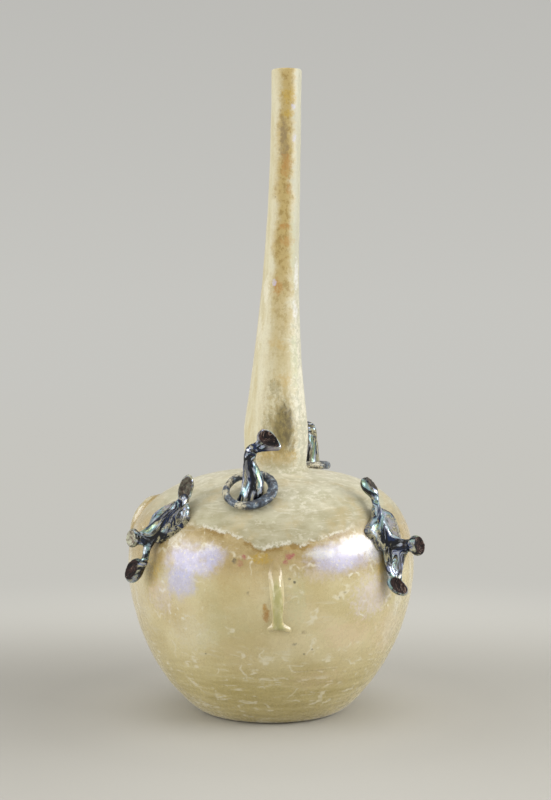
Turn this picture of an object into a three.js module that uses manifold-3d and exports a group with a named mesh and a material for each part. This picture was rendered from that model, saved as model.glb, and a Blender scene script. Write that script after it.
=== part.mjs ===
// A free-blown glass flask: a squat round body under a long thin neck that leans a little.
// Two tooled handles stand on the shoulder, each with a loose ring round its foot. Two
// three-stemmed figures and two pinched ribs are laid on the body.
// Millimetres, +Z up, front towards -Y. The origin is the middle of the foot, on the ground.
import * as THREE from "three";
import { mergeVertices } from "three/addons/utils/BufferGeometryUtils.js";
import Module from "manifold-3d";

const wasm = await Module();
wasm.setup();

// Vessel, outside sizes
const overallHeight = 220;
const bodyDiameter = 99.4;
const bellyHeight = 47.5; // where the body is widest
const shoulderRise = 35.5; // from the belly to the top of the shoulder
const shoulderPower = 2.7; // 2 is an ellipse, more is squarer
const undersidePower = 1.51; // how soon the wall turns in below the belly
const undersideSpread = 2.6; // how full the wall stays below the belly
const footDiameter = 43; // outside of the flat ring that touches the ground
const footRingWidth = 3;
const footEdgeWidth = 4.4; // rounded edge outside the flat ring
const footEdgeRise = 1.2;
const kickHeight = 5; // how far the middle of the base is pushed up
const neckFootDiameter = 22.4; // where the neck is thickest
const neckPinch = 0.9; // how much thinner the neck is where it leaves the shoulder
const neckSwellRise = 14; // from the shoulder to the thickest place
const neckRootFillet = 3.2;
const taperLength = 36; // height in which the neck loses most of its swelling
const taperPower = 1.2;
const mouthDiameter = 10.2;

// Vessel, glass
const wallThickness = 1.6;
const neckWall = 1.5;
const baseThickness = 3;
const floorEdge = 1; // the floor inside reaches this far past the foot

// Lean of the neck towards +X
const neckRootShift = 1.55;
const mouthShift = 5.3;
const neckBow = 0.4; // swing to either side of the straight line

// Handles and their rings
const handleFromNeck = 21.4; // from the neck's root to the stem, along the shoulder
const handleHeight = 21.2;
const stemDiameter = 4.4;
const handleFootDiameter = 9.2;
const headHalfLength = 4.6;
const headHalfHeight = 2.7;
const headHalfThickness = 1.3;
const headReach = 6.2; // from the stem to the middle of the head
const headDroop = 18; // degrees that the head's tip hangs
const frontHandleAzimuth = -12.4; // degrees to the right of the front
const backHandleAzimuth = 157.5;
const ringDiameter = 18.4;
const ringSection = 2.9;
const frontRing = { tilt: 35, outward: 0.5, aside: -0.3 };
const backRing = { tilt: 4, outward: 0.6, aside: 2.6 };

// Figures: each station is millimetres to the right, up along the wall and proud of it,
// counted from the figure's place on the belly line
const figureStem = 4.2;
const lobeHalfSizes = [3.3, 1.4, 2.5]; // length, thickness, width
const rightFigure = {
  azimuth: 51.5,
  stem: [[-0.4, 31.4, 4.4], [-1, 28.4, 3.9], [-1.6, 24, 3.1], [-1.6, 20, 2.2]],
  leg: [[-1.6, 20, 2.2], [-2.1, 12.6, 2.4], [-2.3, 7, 2.2], [-1.2, 2.4, 3]],
  arm: [[-1.2, 15.2, 2.4], [0.6, 12.9, 5.4], [1.6, 12.4, 9.6]],
  wings: [[-8.4, 20.4, 0.2], [9.2, 20.6, 0.2]],
  head: { at: [-0.2, 33.2, 4.8], along: [0.75, 0.6, 0.3], face: [0.5, 0.1, 0.85] },
  foot: { at: [-0.5, 0.4, 3.6], along: [0.75, -0.55, 0.3], face: [-0.1, 0.4, 0.9] },
  hand: { at: [1.8, 12.2, 10.9], along: [0.3, -0.9, 0.2], face: [0.5, 0.1, 0.85] },
};
const leftFigure = {
  azimuth: -50,
  stem: [[3.4, 31.2, 4.2], [5, 27.6, 3.6], [4.2, 24, 3.1], [2.2, 21, 2.6]],
  leg: [[2.2, 21, 2.6], [-0.8, 13.4, 3], [-0.8, 8.6, 3.2], [-2, 5.8, 3.8]],
  arm: [[1, 19.2, 2.6], [-1.6, 16.4, 4.6], [-3.2, 14.6, 7]],
  wings: [[10, 22.8, 0.2], [-9.6, 23.6, 0.2]],
  head: { at: [2.6, 33.2, 4.6], along: [0.1, 0.95, 0.3], face: [0.35, -0.3, 0.9] },
  foot: { at: [-3.6, 5.2, 5], along: [0.3, 0.85, -0.3], face: [-0.75, -0.1, 0.6] },
  hand: { at: [-3.6, 14.2, 8], along: [0.2, 0.95, 0], face: [-0.8, 0.1, 0.55] },
};
const wingHalfThickness = 1.1;
const wingHalfWidth = 3.6; // up and down the wall

// Pinched ribs of clear glass
const ribWidth = 2.8;
const frontRib = { azimuth: 2.7, top: 10.2, bottom: -11.2, proud: 1.4, footHalfWidth: 3.4 };
const leftRib = { azimuth: -94, top: 26.4, bottom: 11.2, proud: 2, footHalfWidth: 2.4 };

// Fits and fineness
const clearance = 0.3; // between pieces that touch
const turns = 36; // facets round the vessel
const rodSides = 8;

const glass = {
  body: { color: 0xcfc394, roughness: 0.35, metalness: 0 },
  clear: { color: 0xd9d3ae, roughness: 0.15, metalness: 0 },
  blue: { color: 0x17233f, roughness: 0.2, metalness: 0 },
  worn: { color: 0x5a6675, roughness: 0.5, metalness: 0 },
};

const bodyRadius = bodyDiameter / 2;
const footRadius = footDiameter / 2;
const mouthRadius = mouthDiameter / 2;
const shoulderTop = bellyHeight + shoulderRise;
const swellHeight = shoulderTop + neckSwellRise;
const swellRadius = neckFootDiameter / 2;
const neckRootRadius = swellRadius - neckPinch;
const radians = THREE.MathUtils.degToRad;

function shoulderPoint(angle) {
  const power = 2 / shoulderPower;
  const radius = bodyRadius * Math.cos(angle) ** power;
  return new THREE.Vector2(radius, bellyHeight + shoulderRise * Math.sin(angle) ** power);
}

// The wall below the belly runs down to the rounded edge of the foot.
const edgeShare = ((footRadius + footEdgeWidth) / bodyRadius) ** undersideSpread;
const undersideDepth =
  (bellyHeight - footEdgeRise) / (1 - edgeShare) ** (1 / undersidePower);

function undersidePoint(height) {
  const depth = (bellyHeight - height) / undersideDepth;
  const radius = bodyRadius * (1 - depth ** undersidePower) ** (1 / undersideSpread);
  return new THREE.Vector2(radius, height);
}

function neckRadius(height) {
  if (height < swellHeight) {
    return swellRadius - neckPinch * ((swellHeight - height) / neckSwellRise) ** 2;
  }
  const share = ((height - swellHeight) / taperLength) ** taperPower;
  return mouthRadius + (swellRadius - mouthRadius) * Math.exp(-share);
}

function kickAt(radius, reach) {
  return radius < reach ? kickHeight * Math.cos((Math.PI * radius) / (2 * reach)) ** 2 : 0;
}

function steps(count, make) {
  return Array.from({ length: count }, (_, index) => make(index / (count - 1), index));
}

// Outside of the body from the foot's edge to the belly, and from there to the neck
const undersideLine = steps(11, (share) =>
  undersidePoint(footEdgeRise + (bellyHeight - footEdgeRise) * share ** 1.5),
);
const filletStart = neckRootRadius + neckRootFillet;
const shoulderEnd = Math.acos((filletStart / bodyRadius) ** (shoulderPower / 2));
const shoulderLine = steps(13, (share) => shoulderPoint(share * shoulderEnd));
const filletTop = shoulderTop + neckRootFillet;
const fillet = new THREE.QuadraticBezierCurve(
  shoulderLine.at(-1),
  new THREE.Vector2(neckRootRadius, shoulderLine.at(-1).y),
  new THREE.Vector2(neckRadius(filletTop), filletTop),
).getPoints(4);
const lipHeight = overallHeight - neckWall / 2;
const neckLine = steps(15, (share) => {
  const height = filletTop + (lipHeight - filletTop) * share;
  return new THREE.Vector2(neckRadius(height), height);
});
const outside = [
  ...undersideLine,
  ...shoulderLine.slice(1),
  ...fillet.slice(1),
  ...neckLine.slice(1),
];

// The same line moved sideways by a distance, outwards where that is positive
function offsetLine(line, distanceAt) {
  return line.map((point, index) => {
    const before = line[Math.max(index - 1, 0)];
    const after = line[Math.min(index + 1, line.length - 1)];
    const along = after.clone().sub(before).normalize();
    const distance = distanceAt(point);
    return new THREE.Vector2(point.x + along.y * distance, point.y - along.x * distance);
  });
}

// How far the middle of the vessel stands to the right at a height
function leanAt(height) {
  const rootStart = bellyHeight + shoulderRise / 2;
  if (height < shoulderTop) {
    return neckRootShift * THREE.MathUtils.smoothstep(height, rootStart, shoulderTop);
  }
  const share = (height - shoulderTop) / (overallHeight - shoulderTop);
  const straight = neckRootShift + (mouthShift - neckRootShift) * share;
  return straight - neckBow * Math.sin(2 * Math.PI * share);
}

// A closed turned body, with its axis bent along the lean
function turned(profile) {
  const geometry = new THREE.LatheGeometry(profile, turns);
  geometry.rotateX(Math.PI / 2);
  const place = geometry.attributes.position;
  for (let index = 0; index < place.count; index += 1) {
    place.setX(index, place.getX(index) + leanAt(place.getZ(index)));
  }
  return solid(geometry);
}

// A closed geometry as a solid that can be joined and cut
function solid(geometry) {
  geometry.deleteAttribute("normal");
  geometry.deleteAttribute("uv");
  const merged = mergeVertices(geometry, 1e-4);
  const vertProperties = merged.attributes.position.array;
  const make = (triVerts) =>
    new wasm.Manifold(new wasm.Mesh({ numProp: 3, vertProperties, triVerts }));
  const made = make(new Uint32Array(merged.index.array));
  return made.volume() > 0 ? made : make(new Uint32Array(merged.index.array).reverse());
}

function joined(solids) {
  return solids.reduce((whole, piece) => whole.add(piece));
}

function node(name, body, look) {
  const { vertProperties, triVerts } = body.getMesh();
  const geometry = new THREE.BufferGeometry();
  geometry.setAttribute("position", new THREE.BufferAttribute(vertProperties, 3));
  geometry.setIndex(new THREE.BufferAttribute(triVerts, 1));
  geometry.computeVertexNormals();
  const mesh = new THREE.Mesh(geometry, new THREE.MeshStandardMaterial(look));
  mesh.name = name;
  return mesh;
}

// Places on the wall, by azimuth, distance up the wall from the belly and height over it
const upLine = new THREE.SplineCurve([...shoulderLine, fillet.at(-1)]);
const downLine = new THREE.SplineCurve([...undersideLine].reverse());
const upLength = upLine.getLength();
const downLength = downLine.getLength();
const shoulderLength = new THREE.SplineCurve(shoulderLine).getLength();

function wallFrame(azimuth, up) {
  const line = up >= 0 ? upLine : downLine;
  const share = up >= 0 ? up / upLength : -up / downLength;
  const point = line.getPointAt(share);
  const rise = line.getTangentAt(share).multiplyScalar(up >= 0 ? 1 : -1);
  const turn = radians(azimuth);
  const out = new THREE.Vector3(Math.sin(turn), -Math.cos(turn), 0);
  return {
    point: out.clone().multiplyScalar(point.x).add(axisAt(point.y)),
    right: new THREE.Vector3(Math.cos(turn), Math.sin(turn), 0),
    up: out.clone().multiplyScalar(rise.x).setZ(rise.y),
    normal: out.clone().multiplyScalar(rise.y).setZ(-rise.x),
    out,
    radius: point.x,
  };
}

function axisAt(height) {
  return new THREE.Vector3(leanAt(height), 0, height);
}

// A station of a figure: right, up the wall, proud of it
function onWall(azimuth, [right, up, proud]) {
  const radius = wallFrame(azimuth, up).radius;
  const frame = wallFrame(azimuth + THREE.MathUtils.radToDeg(right / radius), up);
  return frame.point.addScaledVector(frame.normal, proud);
}

// A direction there, in the same three senses
function alongWall(azimuth, up, [right, rise, proud]) {
  const frame = wallFrame(azimuth, up);
  return frame.right
    .multiplyScalar(right)
    .addScaledVector(frame.up, rise)
    .addScaledVector(frame.normal, proud)
    .normalize();
}

// A round rod along points, with a radius for each, closed by round ends
function rod(points, radii) {
  const curve = new THREE.CatmullRomCurve3(points, false, "centripetal");
  const count = (points.length - 1) * 2;
  const frames = curve.computeFrenetFrames(count, false);
  const thickness = new THREE.CatmullRomCurve3(
    radii.map((radius, index) => new THREE.Vector3(index, radius, 0)),
  );
  const roundEnd = [32, 72].map(radians);
  const rings = [
    ...roundEnd.map((turn) => ({ index: 0, slide: -Math.cos(turn), size: Math.sin(turn) })),
    ...steps(count + 1, (_, index) => ({ index, slide: 0, size: 1 })),
    ...roundEnd
      .map((turn) => ({ index: count, slide: Math.cos(turn), size: Math.sin(turn) }))
      .reverse(),
  ];
  const place = [];
  const ringAt = ({ index, slide, size }) => {
    const radius = thickness.getPoint(index / count).y;
    const centre = curve.getPoint(index / count);
    centre.addScaledVector(frames.tangents[index], slide * radius);
    for (let side = 0; side < rodSides; side += 1) {
      const turn = (side / rodSides) * 2 * Math.PI;
      const vertex = centre
        .clone()
        .addScaledVector(frames.normals[index], Math.cos(turn) * size * radius)
        .addScaledVector(frames.binormals[index], Math.sin(turn) * size * radius);
      place.push(...vertex.toArray());
    }
  };
  rings.forEach(ringAt);
  const faces = [];
  for (let row = 0; row < rings.length - 1; row += 1) {
    for (let side = 0; side < rodSides; side += 1) {
      const next = (side + 1) % rodSides;
      const [a, b] = [row * rodSides + side, row * rodSides + next];
      faces.push(a, b, b + rodSides, a, b + rodSides, a + rodSides);
    }
  }
  const last = (rings.length - 1) * rodSides;
  for (let side = 1; side < rodSides - 1; side += 1) {
    faces.push(0, side + 1, side, last, last + side, last + side + 1);
  }
  const geometry = new THREE.BufferGeometry();
  geometry.setAttribute("position", new THREE.Float32BufferAttribute(place, 3));
  geometry.setIndex(faces);
  return solid(geometry);
}

// A flattened egg: half sizes along its length, through its face and across
function lobe(centre, along, face, [length, thickness, width]) {
  const across = along.clone().cross(face).normalize();
  const through = across.clone().cross(along).normalize();
  const geometry = new THREE.SphereGeometry(1, 12, 6);
  const matrix = new THREE.Matrix4().makeBasis(
    along.clone().multiplyScalar(length),
    through.multiplyScalar(thickness),
    across.multiplyScalar(width),
  );
  geometry.applyMatrix4(matrix.setPosition(centre));
  return solid(geometry);
}

const belowGround = new THREE.Vector2(0, -5);
const aboveRim = new THREE.Vector2(0, overallHeight + 5);
const wallCutter = turned([
  belowGround,
  new THREE.Vector2(footRadius, belowGround.y),
  ...offsetLine(outside, () => clearance),
  aboveRim,
]);

// The vessel: outside from the base up to the lip, then the inside back down to the floor
function vesselWall() {
  const kickReach = footRadius - footRingWidth;
  const underside = steps(5, (share) => {
    const radius = kickReach * share;
    return new THREE.Vector2(radius, kickAt(radius, kickReach));
  });
  const lip = steps(3, (share) => {
    const turn = ((share * 2 + 1) / 4) * Math.PI;
    const middle = neckRadius(overallHeight) - neckWall / 2;
    return new THREE.Vector2(
      middle + (Math.cos(turn) * neckWall) / 2,
      lipHeight + (Math.sin(turn) * neckWall) / 2,
    );
  });
  const thicknessAt = (point) => -(point.y > shoulderTop ? neckWall : wallThickness);
  const inside = offsetLine(outside, thicknessAt).reverse();
  const bore = inside.filter((point) => point.y > baseThickness + wallThickness);
  const floorReach = footRadius + floorEdge;
  const floor = steps(6, (share) => {
    const radius = floorReach * (1 - share);
    return new THREE.Vector2(radius, baseThickness + kickAt(radius, floorReach));
  });
  return turned([
    ...underside,
    new THREE.Vector2(footRadius, 0),
    ...outside,
    ...lip,
    ...bore,
    ...floor,
  ]);
}

// A handle's foot on the shoulder, with the upright frame that its stem stands in
function handleFrame(azimuth) {
  const frame = wallFrame(azimuth, shoulderLength - handleFromNeck);
  const at = (right, out, up) =>
    frame.point
      .clone()
      .addScaledVector(frame.right, right)
      .addScaledVector(frame.out, out)
      .add(new THREE.Vector3(0, 0, up));
  return { ...frame, at };
}

function handle(azimuth) {
  const { at, right, out } = handleFrame(azimuth);
  const stemRadius = stemDiameter / 2;
  const flare = handleFootDiameter / 2;
  const headUp = handleHeight - headHalfHeight;
  const stem = rod(
    [
      at(0, 0, -1),
      at(0, 0, 2.2),
      at(0, 0, headUp / 2),
      at(0, 0, headUp - 4),
      at(1.4, 0, headUp - 1.2),
      at(headReach - 1, 0, headUp - 0.6),
    ],
    [flare, stemRadius * 1.25, stemRadius, stemRadius, stemRadius * 0.95, stemRadius * 0.7],
  );
  const droop = radians(headDroop);
  const along = right
    .clone()
    .multiplyScalar(Math.cos(droop))
    .setZ(-Math.sin(droop));
  const face = out.clone().setZ(0.35);
  const halfSizes = [headHalfLength, headHalfThickness, headHalfHeight];
  const head = lobe(at(headReach, 0, headUp), along, face, halfSizes);
  return stem.add(head).subtract(wallCutter);
}

// Height at which a round section clears the wall at a distance from the vessel's middle
function restingHeight(radius, section) {
  let low = 0;
  let high = shoulderLength;
  for (let pass = 0; pass < 30; pass += 1) {
    const middle = (low + high) / 2;
    const point = upLine.getPointAt(middle / upLength);
    const rise = upLine.getTangentAt(middle / upLength);
    if (point.x + rise.y * section > radius) low = middle;
    else high = middle;
  }
  const point = upLine.getPointAt(low / upLength);
  const rise = upLine.getTangentAt(low / upLength);
  return point.y - rise.x * section;
}

// A loose ring round a handle's foot: its outer edge hangs low by the tilt, and it is as
// low as the shoulder lets it lie
function ring(azimuth, { tilt, outward, aside }) {
  const frame = handleFrame(azimuth);
  const section = ringSection / 2;
  const middle = ringDiameter / 2 - section;
  const lean = radians(tilt);
  const along = frame.right;
  const outer = frame.out.clone().multiplyScalar(Math.cos(lean)).setZ(-Math.sin(lean));
  const centre = frame.at(aside, outward, 0);
  const heights = steps(37, (share) => {
    const turn = share * 2 * Math.PI;
    const reach = outer.clone().multiplyScalar(Math.cos(turn) * middle);
    reach.addScaledVector(along, Math.sin(turn) * middle);
    const edge = centre.clone().add(reach);
    return restingHeight(Math.hypot(edge.x, edge.y), section + clearance) - reach.z;
  });
  centre.setZ(Math.max(...heights));
  const geometry = new THREE.TorusGeometry(middle, section, 10, 24);
  const face = along.clone().cross(outer).normalize();
  geometry.applyMatrix4(new THREE.Matrix4().makeBasis(along, outer, face).setPosition(centre));
  return solid(geometry);
}

// A figure: a stem that ends in a head, a leg, an arm and two low wings
function figure({ azimuth, stem, leg, arm, wings, head, foot, hand }) {
  const place = (station) => onWall(azimuth, station);
  const thick = figureStem / 2;
  const run = (stations, shares) =>
    rod(stations.map(place), shares.map((share) => share * thick));
  const pad = ({ at, along, face }) =>
    lobe(
      place(at),
      alongWall(azimuth, at[1], along),
      alongWall(azimuth, at[1], face),
      lobeHalfSizes,
    );
  const trunk = stem.at(-1);
  const wing = (tip) => {
    const middle = tip.map((value, index) => (value + trunk[index]) / 2);
    const along = place(tip).sub(place(trunk));
    const halfSizes = [along.length() / 2 + 1, wingHalfThickness, wingHalfWidth];
    return lobe(place(middle), along.normalize(), wallFrame(azimuth, tip[1]).normal, halfSizes);
  };
  const solids = [
    run(stem, [0.8, 0.75, 0.95, 1.35]),
    run(leg, [1.35, 1, 0.9, 0.95]),
    run(arm, [1.2, 0.95, 0.9]),
    ...wings.map(wing),
    ...[head, foot, hand].map(pad),
  ];
  return joined(solids).subtract(wallCutter);
}

// A rib: an upright fold with a flared foot, thinner at the top
function rib({ azimuth, top, bottom, proud, footHalfWidth }) {
  const place = (station) => onWall(azimuth, station);
  const half = ribWidth / 2;
  const sink = proud - half;
  const fold = rod(
    [
      place([0, top, sink - 0.5]),
      place([0, top - 3, sink]),
      place([0, (top + bottom) / 2, sink]),
      place([0, bottom, sink]),
    ],
    [half * 0.8, half, half, half],
  );
  const foot = rod(
    [
      place([-footHalfWidth, bottom - 0.4, sink - 0.6]),
      place([0, bottom + 0.4, sink]),
      place([footHalfWidth, bottom - 0.4, sink - 0.6]),
    ],
    [half * 0.7, half, half * 0.7],
  );
  return fold.add(foot).subtract(wallCutter);
}

const flask = new THREE.Group();
flask.add(
  node("vessel_wall", vesselWall(), glass.body),
  node("front_handle", handle(frontHandleAzimuth), glass.blue),
  node("back_handle", handle(backHandleAzimuth), glass.blue),
  node("front_ring", ring(frontHandleAzimuth, frontRing), glass.worn),
  node("back_ring", ring(backHandleAzimuth, backRing), glass.worn),
  node("right_figure", figure(rightFigure), glass.blue),
  node("left_figure", figure(leftFigure), glass.blue),
  node("front_rib", rib(frontRib), glass.clear),
  node("left_rib", rib(leftRib), glass.clear),
);

export default flask;
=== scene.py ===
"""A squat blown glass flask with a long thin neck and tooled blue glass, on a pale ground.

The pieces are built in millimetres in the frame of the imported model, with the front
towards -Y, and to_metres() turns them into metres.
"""

import math

import bpy
import bmesh
import numpy as np
from mathutils import Matrix, Vector, noise

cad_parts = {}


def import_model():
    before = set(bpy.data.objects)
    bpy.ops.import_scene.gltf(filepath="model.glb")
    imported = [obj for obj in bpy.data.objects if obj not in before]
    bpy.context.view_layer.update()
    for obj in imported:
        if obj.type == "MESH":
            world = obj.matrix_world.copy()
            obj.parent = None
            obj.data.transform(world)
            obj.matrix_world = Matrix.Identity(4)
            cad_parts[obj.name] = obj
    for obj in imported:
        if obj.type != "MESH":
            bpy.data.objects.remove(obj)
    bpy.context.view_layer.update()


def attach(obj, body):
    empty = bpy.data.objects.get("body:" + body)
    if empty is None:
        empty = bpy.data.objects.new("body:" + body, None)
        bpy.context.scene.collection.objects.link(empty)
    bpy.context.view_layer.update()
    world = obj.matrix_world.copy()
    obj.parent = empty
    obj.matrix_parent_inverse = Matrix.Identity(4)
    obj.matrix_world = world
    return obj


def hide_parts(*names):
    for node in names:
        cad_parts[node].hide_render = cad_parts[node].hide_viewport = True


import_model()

MM = 0.001
VOXEL = 0.3
FOOT_REACH = 1.7  # how far round a piece its foot on the wall spreads
FOOT_SINK = 0.55
FOOT_DEPTH = 1.5

# Vessel, outside sizes
HEIGHT = 220.0
BODY_RADIUS = 49.7
BELLY_HEIGHT = 47.5
SHOULDER_RISE = 35.5
SHOULDER_POWER = 2.7
UNDERSIDE_POWER = 1.51
UNDERSIDE_SPREAD = 2.6
FOOT_RADIUS = 21.5
FOOT_RING_WIDTH = 3.0
FOOT_EDGE_WIDTH = 4.4
FOOT_EDGE_RISE = 1.2
KICK_HEIGHT = 5.0
NECK_SWELL_RADIUS = 11.2
NECK_PINCH = 0.9
NECK_SWELL_RISE = 14.0
NECK_FILLET = 3.2
TAPER_LENGTH = 36.0
TAPER_POWER = 1.2
MOUTH_RADIUS = 5.1
WALL = 1.6
NECK_WALL = 1.5
BASE_THICKNESS = 3.0

# Lean of the neck
ROOT_SHIFT = 1.55
MOUTH_SHIFT = 5.3
NECK_BOW = 0.4

# Handles and rings
HANDLE_FROM_NECK = 21.4
FRONT_AZIMUTH = -12.4
BACK_AZIMUTH = 157.5
RING_RADIUS = 7.75  # to the middle of the section
FRONT_RING = {"centre": (-6.535, -33.783, 79.871), "azimuth": FRONT_AZIMUTH, "tilt": 35, "girth": 1.1}
BACK_RING = {"centre": (12.098, 33.105, 81.427), "azimuth": BACK_AZIMUTH, "tilt": 4, "girth": 1.28}

# Camera, fitted to the outline of the body and neck
CAMERA_AT = (0.0015, -0.565, 0.141)
CAMERA_PITCH = 3.4334
FOCAL_PIXELS = 1640.12
IMAGE_WIDTH = 551
SENSOR = 36.0

SHOULDER_TOP = BELLY_HEIGHT + SHOULDER_RISE
SWELL_HEIGHT = SHOULDER_TOP + NECK_SWELL_RISE
NECK_ROOT_RADIUS = NECK_SWELL_RADIUS - NECK_PINCH
EDGE_SHARE = ((FOOT_RADIUS + FOOT_EDGE_WIDTH) / BODY_RADIUS) ** UNDERSIDE_SPREAD
UNDERSIDE_DEPTH = (BELLY_HEIGHT - FOOT_EDGE_RISE) / (1 - EDGE_SHARE) ** (1 / UNDERSIDE_POWER)


# The vessel's outline


def shoulder_point(angle):
    power = 2 / SHOULDER_POWER
    radius = BODY_RADIUS * math.cos(angle) ** power
    return radius, BELLY_HEIGHT + SHOULDER_RISE * math.sin(angle) ** power


def underside_point(height):
    depth = (BELLY_HEIGHT - height) / UNDERSIDE_DEPTH
    return BODY_RADIUS * (1 - depth**UNDERSIDE_POWER) ** (1 / UNDERSIDE_SPREAD), height


def neck_radius(height):
    if height < SWELL_HEIGHT:
        return NECK_SWELL_RADIUS - NECK_PINCH * ((SWELL_HEIGHT - height) / NECK_SWELL_RISE) ** 2
    share = ((height - SWELL_HEIGHT) / TAPER_LENGTH) ** TAPER_POWER
    return MOUTH_RADIUS + (NECK_SWELL_RADIUS - MOUTH_RADIUS) * math.exp(-share)


def smoothstep(value, low, high):
    share = np.clip((value - low) / (high - low), 0.0, 1.0)
    return share * share * (3 - 2 * share)


def lean(height):
    root = ROOT_SHIFT * smoothstep(height, BELLY_HEIGHT + SHOULDER_RISE / 2, SHOULDER_TOP)
    share = np.clip((height - SHOULDER_TOP) / (HEIGHT - SHOULDER_TOP), 0.0, 1.0)
    return root + (MOUTH_SHIFT - ROOT_SHIFT) * share - NECK_BOW * np.sin(2 * math.pi * share)


def kick(radius, reach):
    return KICK_HEIGHT * math.cos(math.pi * radius / (2 * reach)) ** 2 if radius < reach else 0.0


FILLET_START = NECK_ROOT_RADIUS + NECK_FILLET
SHOULDER_END = math.acos((FILLET_START / BODY_RADIUS) ** (SHOULDER_POWER / 2))
FILLET_TOP = SHOULDER_TOP + NECK_FILLET


def underside_line(count):
    rise = BELLY_HEIGHT - FOOT_EDGE_RISE
    return [underside_point(FOOT_EDGE_RISE + rise * s**1.5) for s in np.linspace(0, 1, count)]


def shoulder_line(count):
    return [shoulder_point(s * SHOULDER_END) for s in np.linspace(0, 1, count)]


def fillet_line(count):
    start = shoulder_point(SHOULDER_END)
    corner = (NECK_ROOT_RADIUS, start[1])
    end = (neck_radius(FILLET_TOP), FILLET_TOP)
    line = []
    for s in np.linspace(0, 1, count):
        weights = ((1 - s) ** 2, 2 * s * (1 - s), s * s)
        line.append(tuple(sum(w * p[i] for w, p in zip(weights, (start, corner, end))) for i in (0, 1)))
    return line


def neck_line(count):
    top = HEIGHT - NECK_WALL / 2
    return [(neck_radius(h), h) for h in np.linspace(FILLET_TOP, top, count)]


def moved_sideways(line, distance):
    """The line moved outwards by a distance, which is a function of the height."""
    moved = []
    for i, (r, h) in enumerate(line):
        before, after = line[max(i - 1, 0)], line[min(i + 1, len(line) - 1)]
        along = Vector((after[0] - before[0], after[1] - before[1])).normalized()
        moved.append((r + along.y * distance(h), h - along.x * distance(h)))
    return moved


# Places on the wall

WALL_LINE = underside_line(200)[:-1] + shoulder_line(300) + fillet_line(12)[1:]
_steps = [math.dist(a, b) for a, b in zip(WALL_LINE, WALL_LINE[1:])]
_arcs = np.concatenate(([0], np.cumsum(_steps)))
WALL_ARC = _arcs - _arcs[199]  # from the belly line, positive upwards
SHOULDER_LENGTH = float(WALL_ARC[199 + 299])


def wall_frame(azimuth, up):
    """Point, right, up and outward directions at an azimuth and a distance up the wall."""
    radii, heights = np.array(WALL_LINE).T
    radius, height = np.interp(up, WALL_ARC, radii), np.interp(up, WALL_ARC, heights)
    step = 0.3
    slope = Vector((
        float(np.interp(up + step, WALL_ARC, radii) - np.interp(up - step, WALL_ARC, radii)),
        float(np.interp(up + step, WALL_ARC, heights) - np.interp(up - step, WALL_ARC, heights)),
    )).normalized()
    turn = math.radians(azimuth)
    out = Vector((math.sin(turn), -math.cos(turn), 0))
    return {
        "point": out * float(radius) + Vector((lean(float(height)), 0, float(height))),
        "right": Vector((math.cos(turn), math.sin(turn), 0)),
        "up": out * slope.x + Vector((0, 0, slope.y)),
        "normal": out * slope.y + Vector((0, 0, -slope.x)),
        "out": out,
        "radius": float(radius),
    }


def wall_gap(x, y, z):
    """How far outside the vessel's skin a place lies, near enough wherever that is small."""
    above = z > BELLY_HEIGHT
    out_power = np.where(above, SHOULDER_POWER, UNDERSIDE_SPREAD)
    up_power = np.where(above, SHOULDER_POWER, UNDERSIDE_POWER)
    depth = np.where(above, SHOULDER_RISE, UNDERSIDE_DEPTH)
    out = np.hypot(x - lean(z), y) / BODY_RADIUS
    up = np.abs(z - BELLY_HEIGHT) / depth
    level = out**out_power + up**up_power - 1
    slopes = out_power * out ** (out_power - 1) / BODY_RADIUS, up_power * up ** (up_power - 1) / depth
    return level / np.hypot(*slopes)


def on_wall(azimuth, station):
    right, up, proud = station
    radius = wall_frame(azimuth, up)["radius"]
    place = wall_frame(azimuth + math.degrees(right / radius), up)
    return place["point"] + place["normal"] * proud


# Meshes


def make_object(name, vertices, faces):
    mesh = bpy.data.meshes.new(name)
    mesh.from_pydata([tuple(v) for v in vertices], [], faces)
    mesh.validate()
    mesh.update()
    obj = bpy.data.objects.new(name, mesh)
    bpy.context.scene.collection.objects.link(obj)
    return obj


def to_metres(obj):
    obj.data.transform(Matrix.Scale(MM, 4))
    obj.data.polygons.foreach_set("use_smooth", [True] * len(obj.data.polygons))
    obj.data.update()
    return obj


def noise_at(x, y, z, size):
    """Smooth noise at each place, with bumps of about a size in millimetres."""
    places = np.stack(np.broadcast_arrays(x, y, z), axis=-1)
    values = [noise.noise(Vector(p) / size) for p in places.reshape(-1, 3)]
    return np.array(values).reshape(places.shape[:-1])


def revolved(name, profile, turns, push):
    """A closed turned body: the first and the last point of the profile lie on the axis."""
    radii, heights = np.array(profile[1:-1]).T[:, :, None]
    radii = radii + push
    grid = np.stack([
        lean(heights) + radii * np.sin(turns),
        -radii * np.cos(turns),
        np.broadcast_to(heights, radii.shape),
    ], axis=-1)
    rows, segments = radii.shape
    ends = [(lean(p[1]), 0, p[1]) for p in (profile[0], profile[-1])]
    faces = []
    for row in range(rows - 1):
        for s in range(segments):
            a, b = row * segments + s, row * segments + (s + 1) % segments
            faces.append((a, b, b + segments, a + segments))
    for centre, row, flip in ((rows * segments, 0, True), (rows * segments + 1, rows - 1, False)):
        for s in range(segments):
            a, b = row * segments + s, row * segments + (s + 1) % segments
            faces.append((centre, b, a) if flip else (centre, a, b))
    return make_object(name, np.concatenate([grid.reshape(-1, 3), ends]), faces)


def smooth_line(points, values, per_span=4):
    """Points on a curve through the given ones, with a value carried along."""
    data = [Vector((*p, v)) for p, v in zip(points, values)]
    data = [data[0] * 2 - data[1]] + data + [data[-1] * 2 - data[-2]]
    line = []
    for i in range(1, len(data) - 2):
        a, b, c, d = data[i - 1 : i + 3]
        for k in range(per_span + (i == len(data) - 3)):
            t = k / per_span
            p = (b * 2 + (c - a) * t + (a * 2 - b * 5 + c * 4 - d) * t**2 + (b * 3 - a - c * 3 + d) * t**3) / 2
            line.append((Vector(p[:3]), p[3]))
    return line


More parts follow.
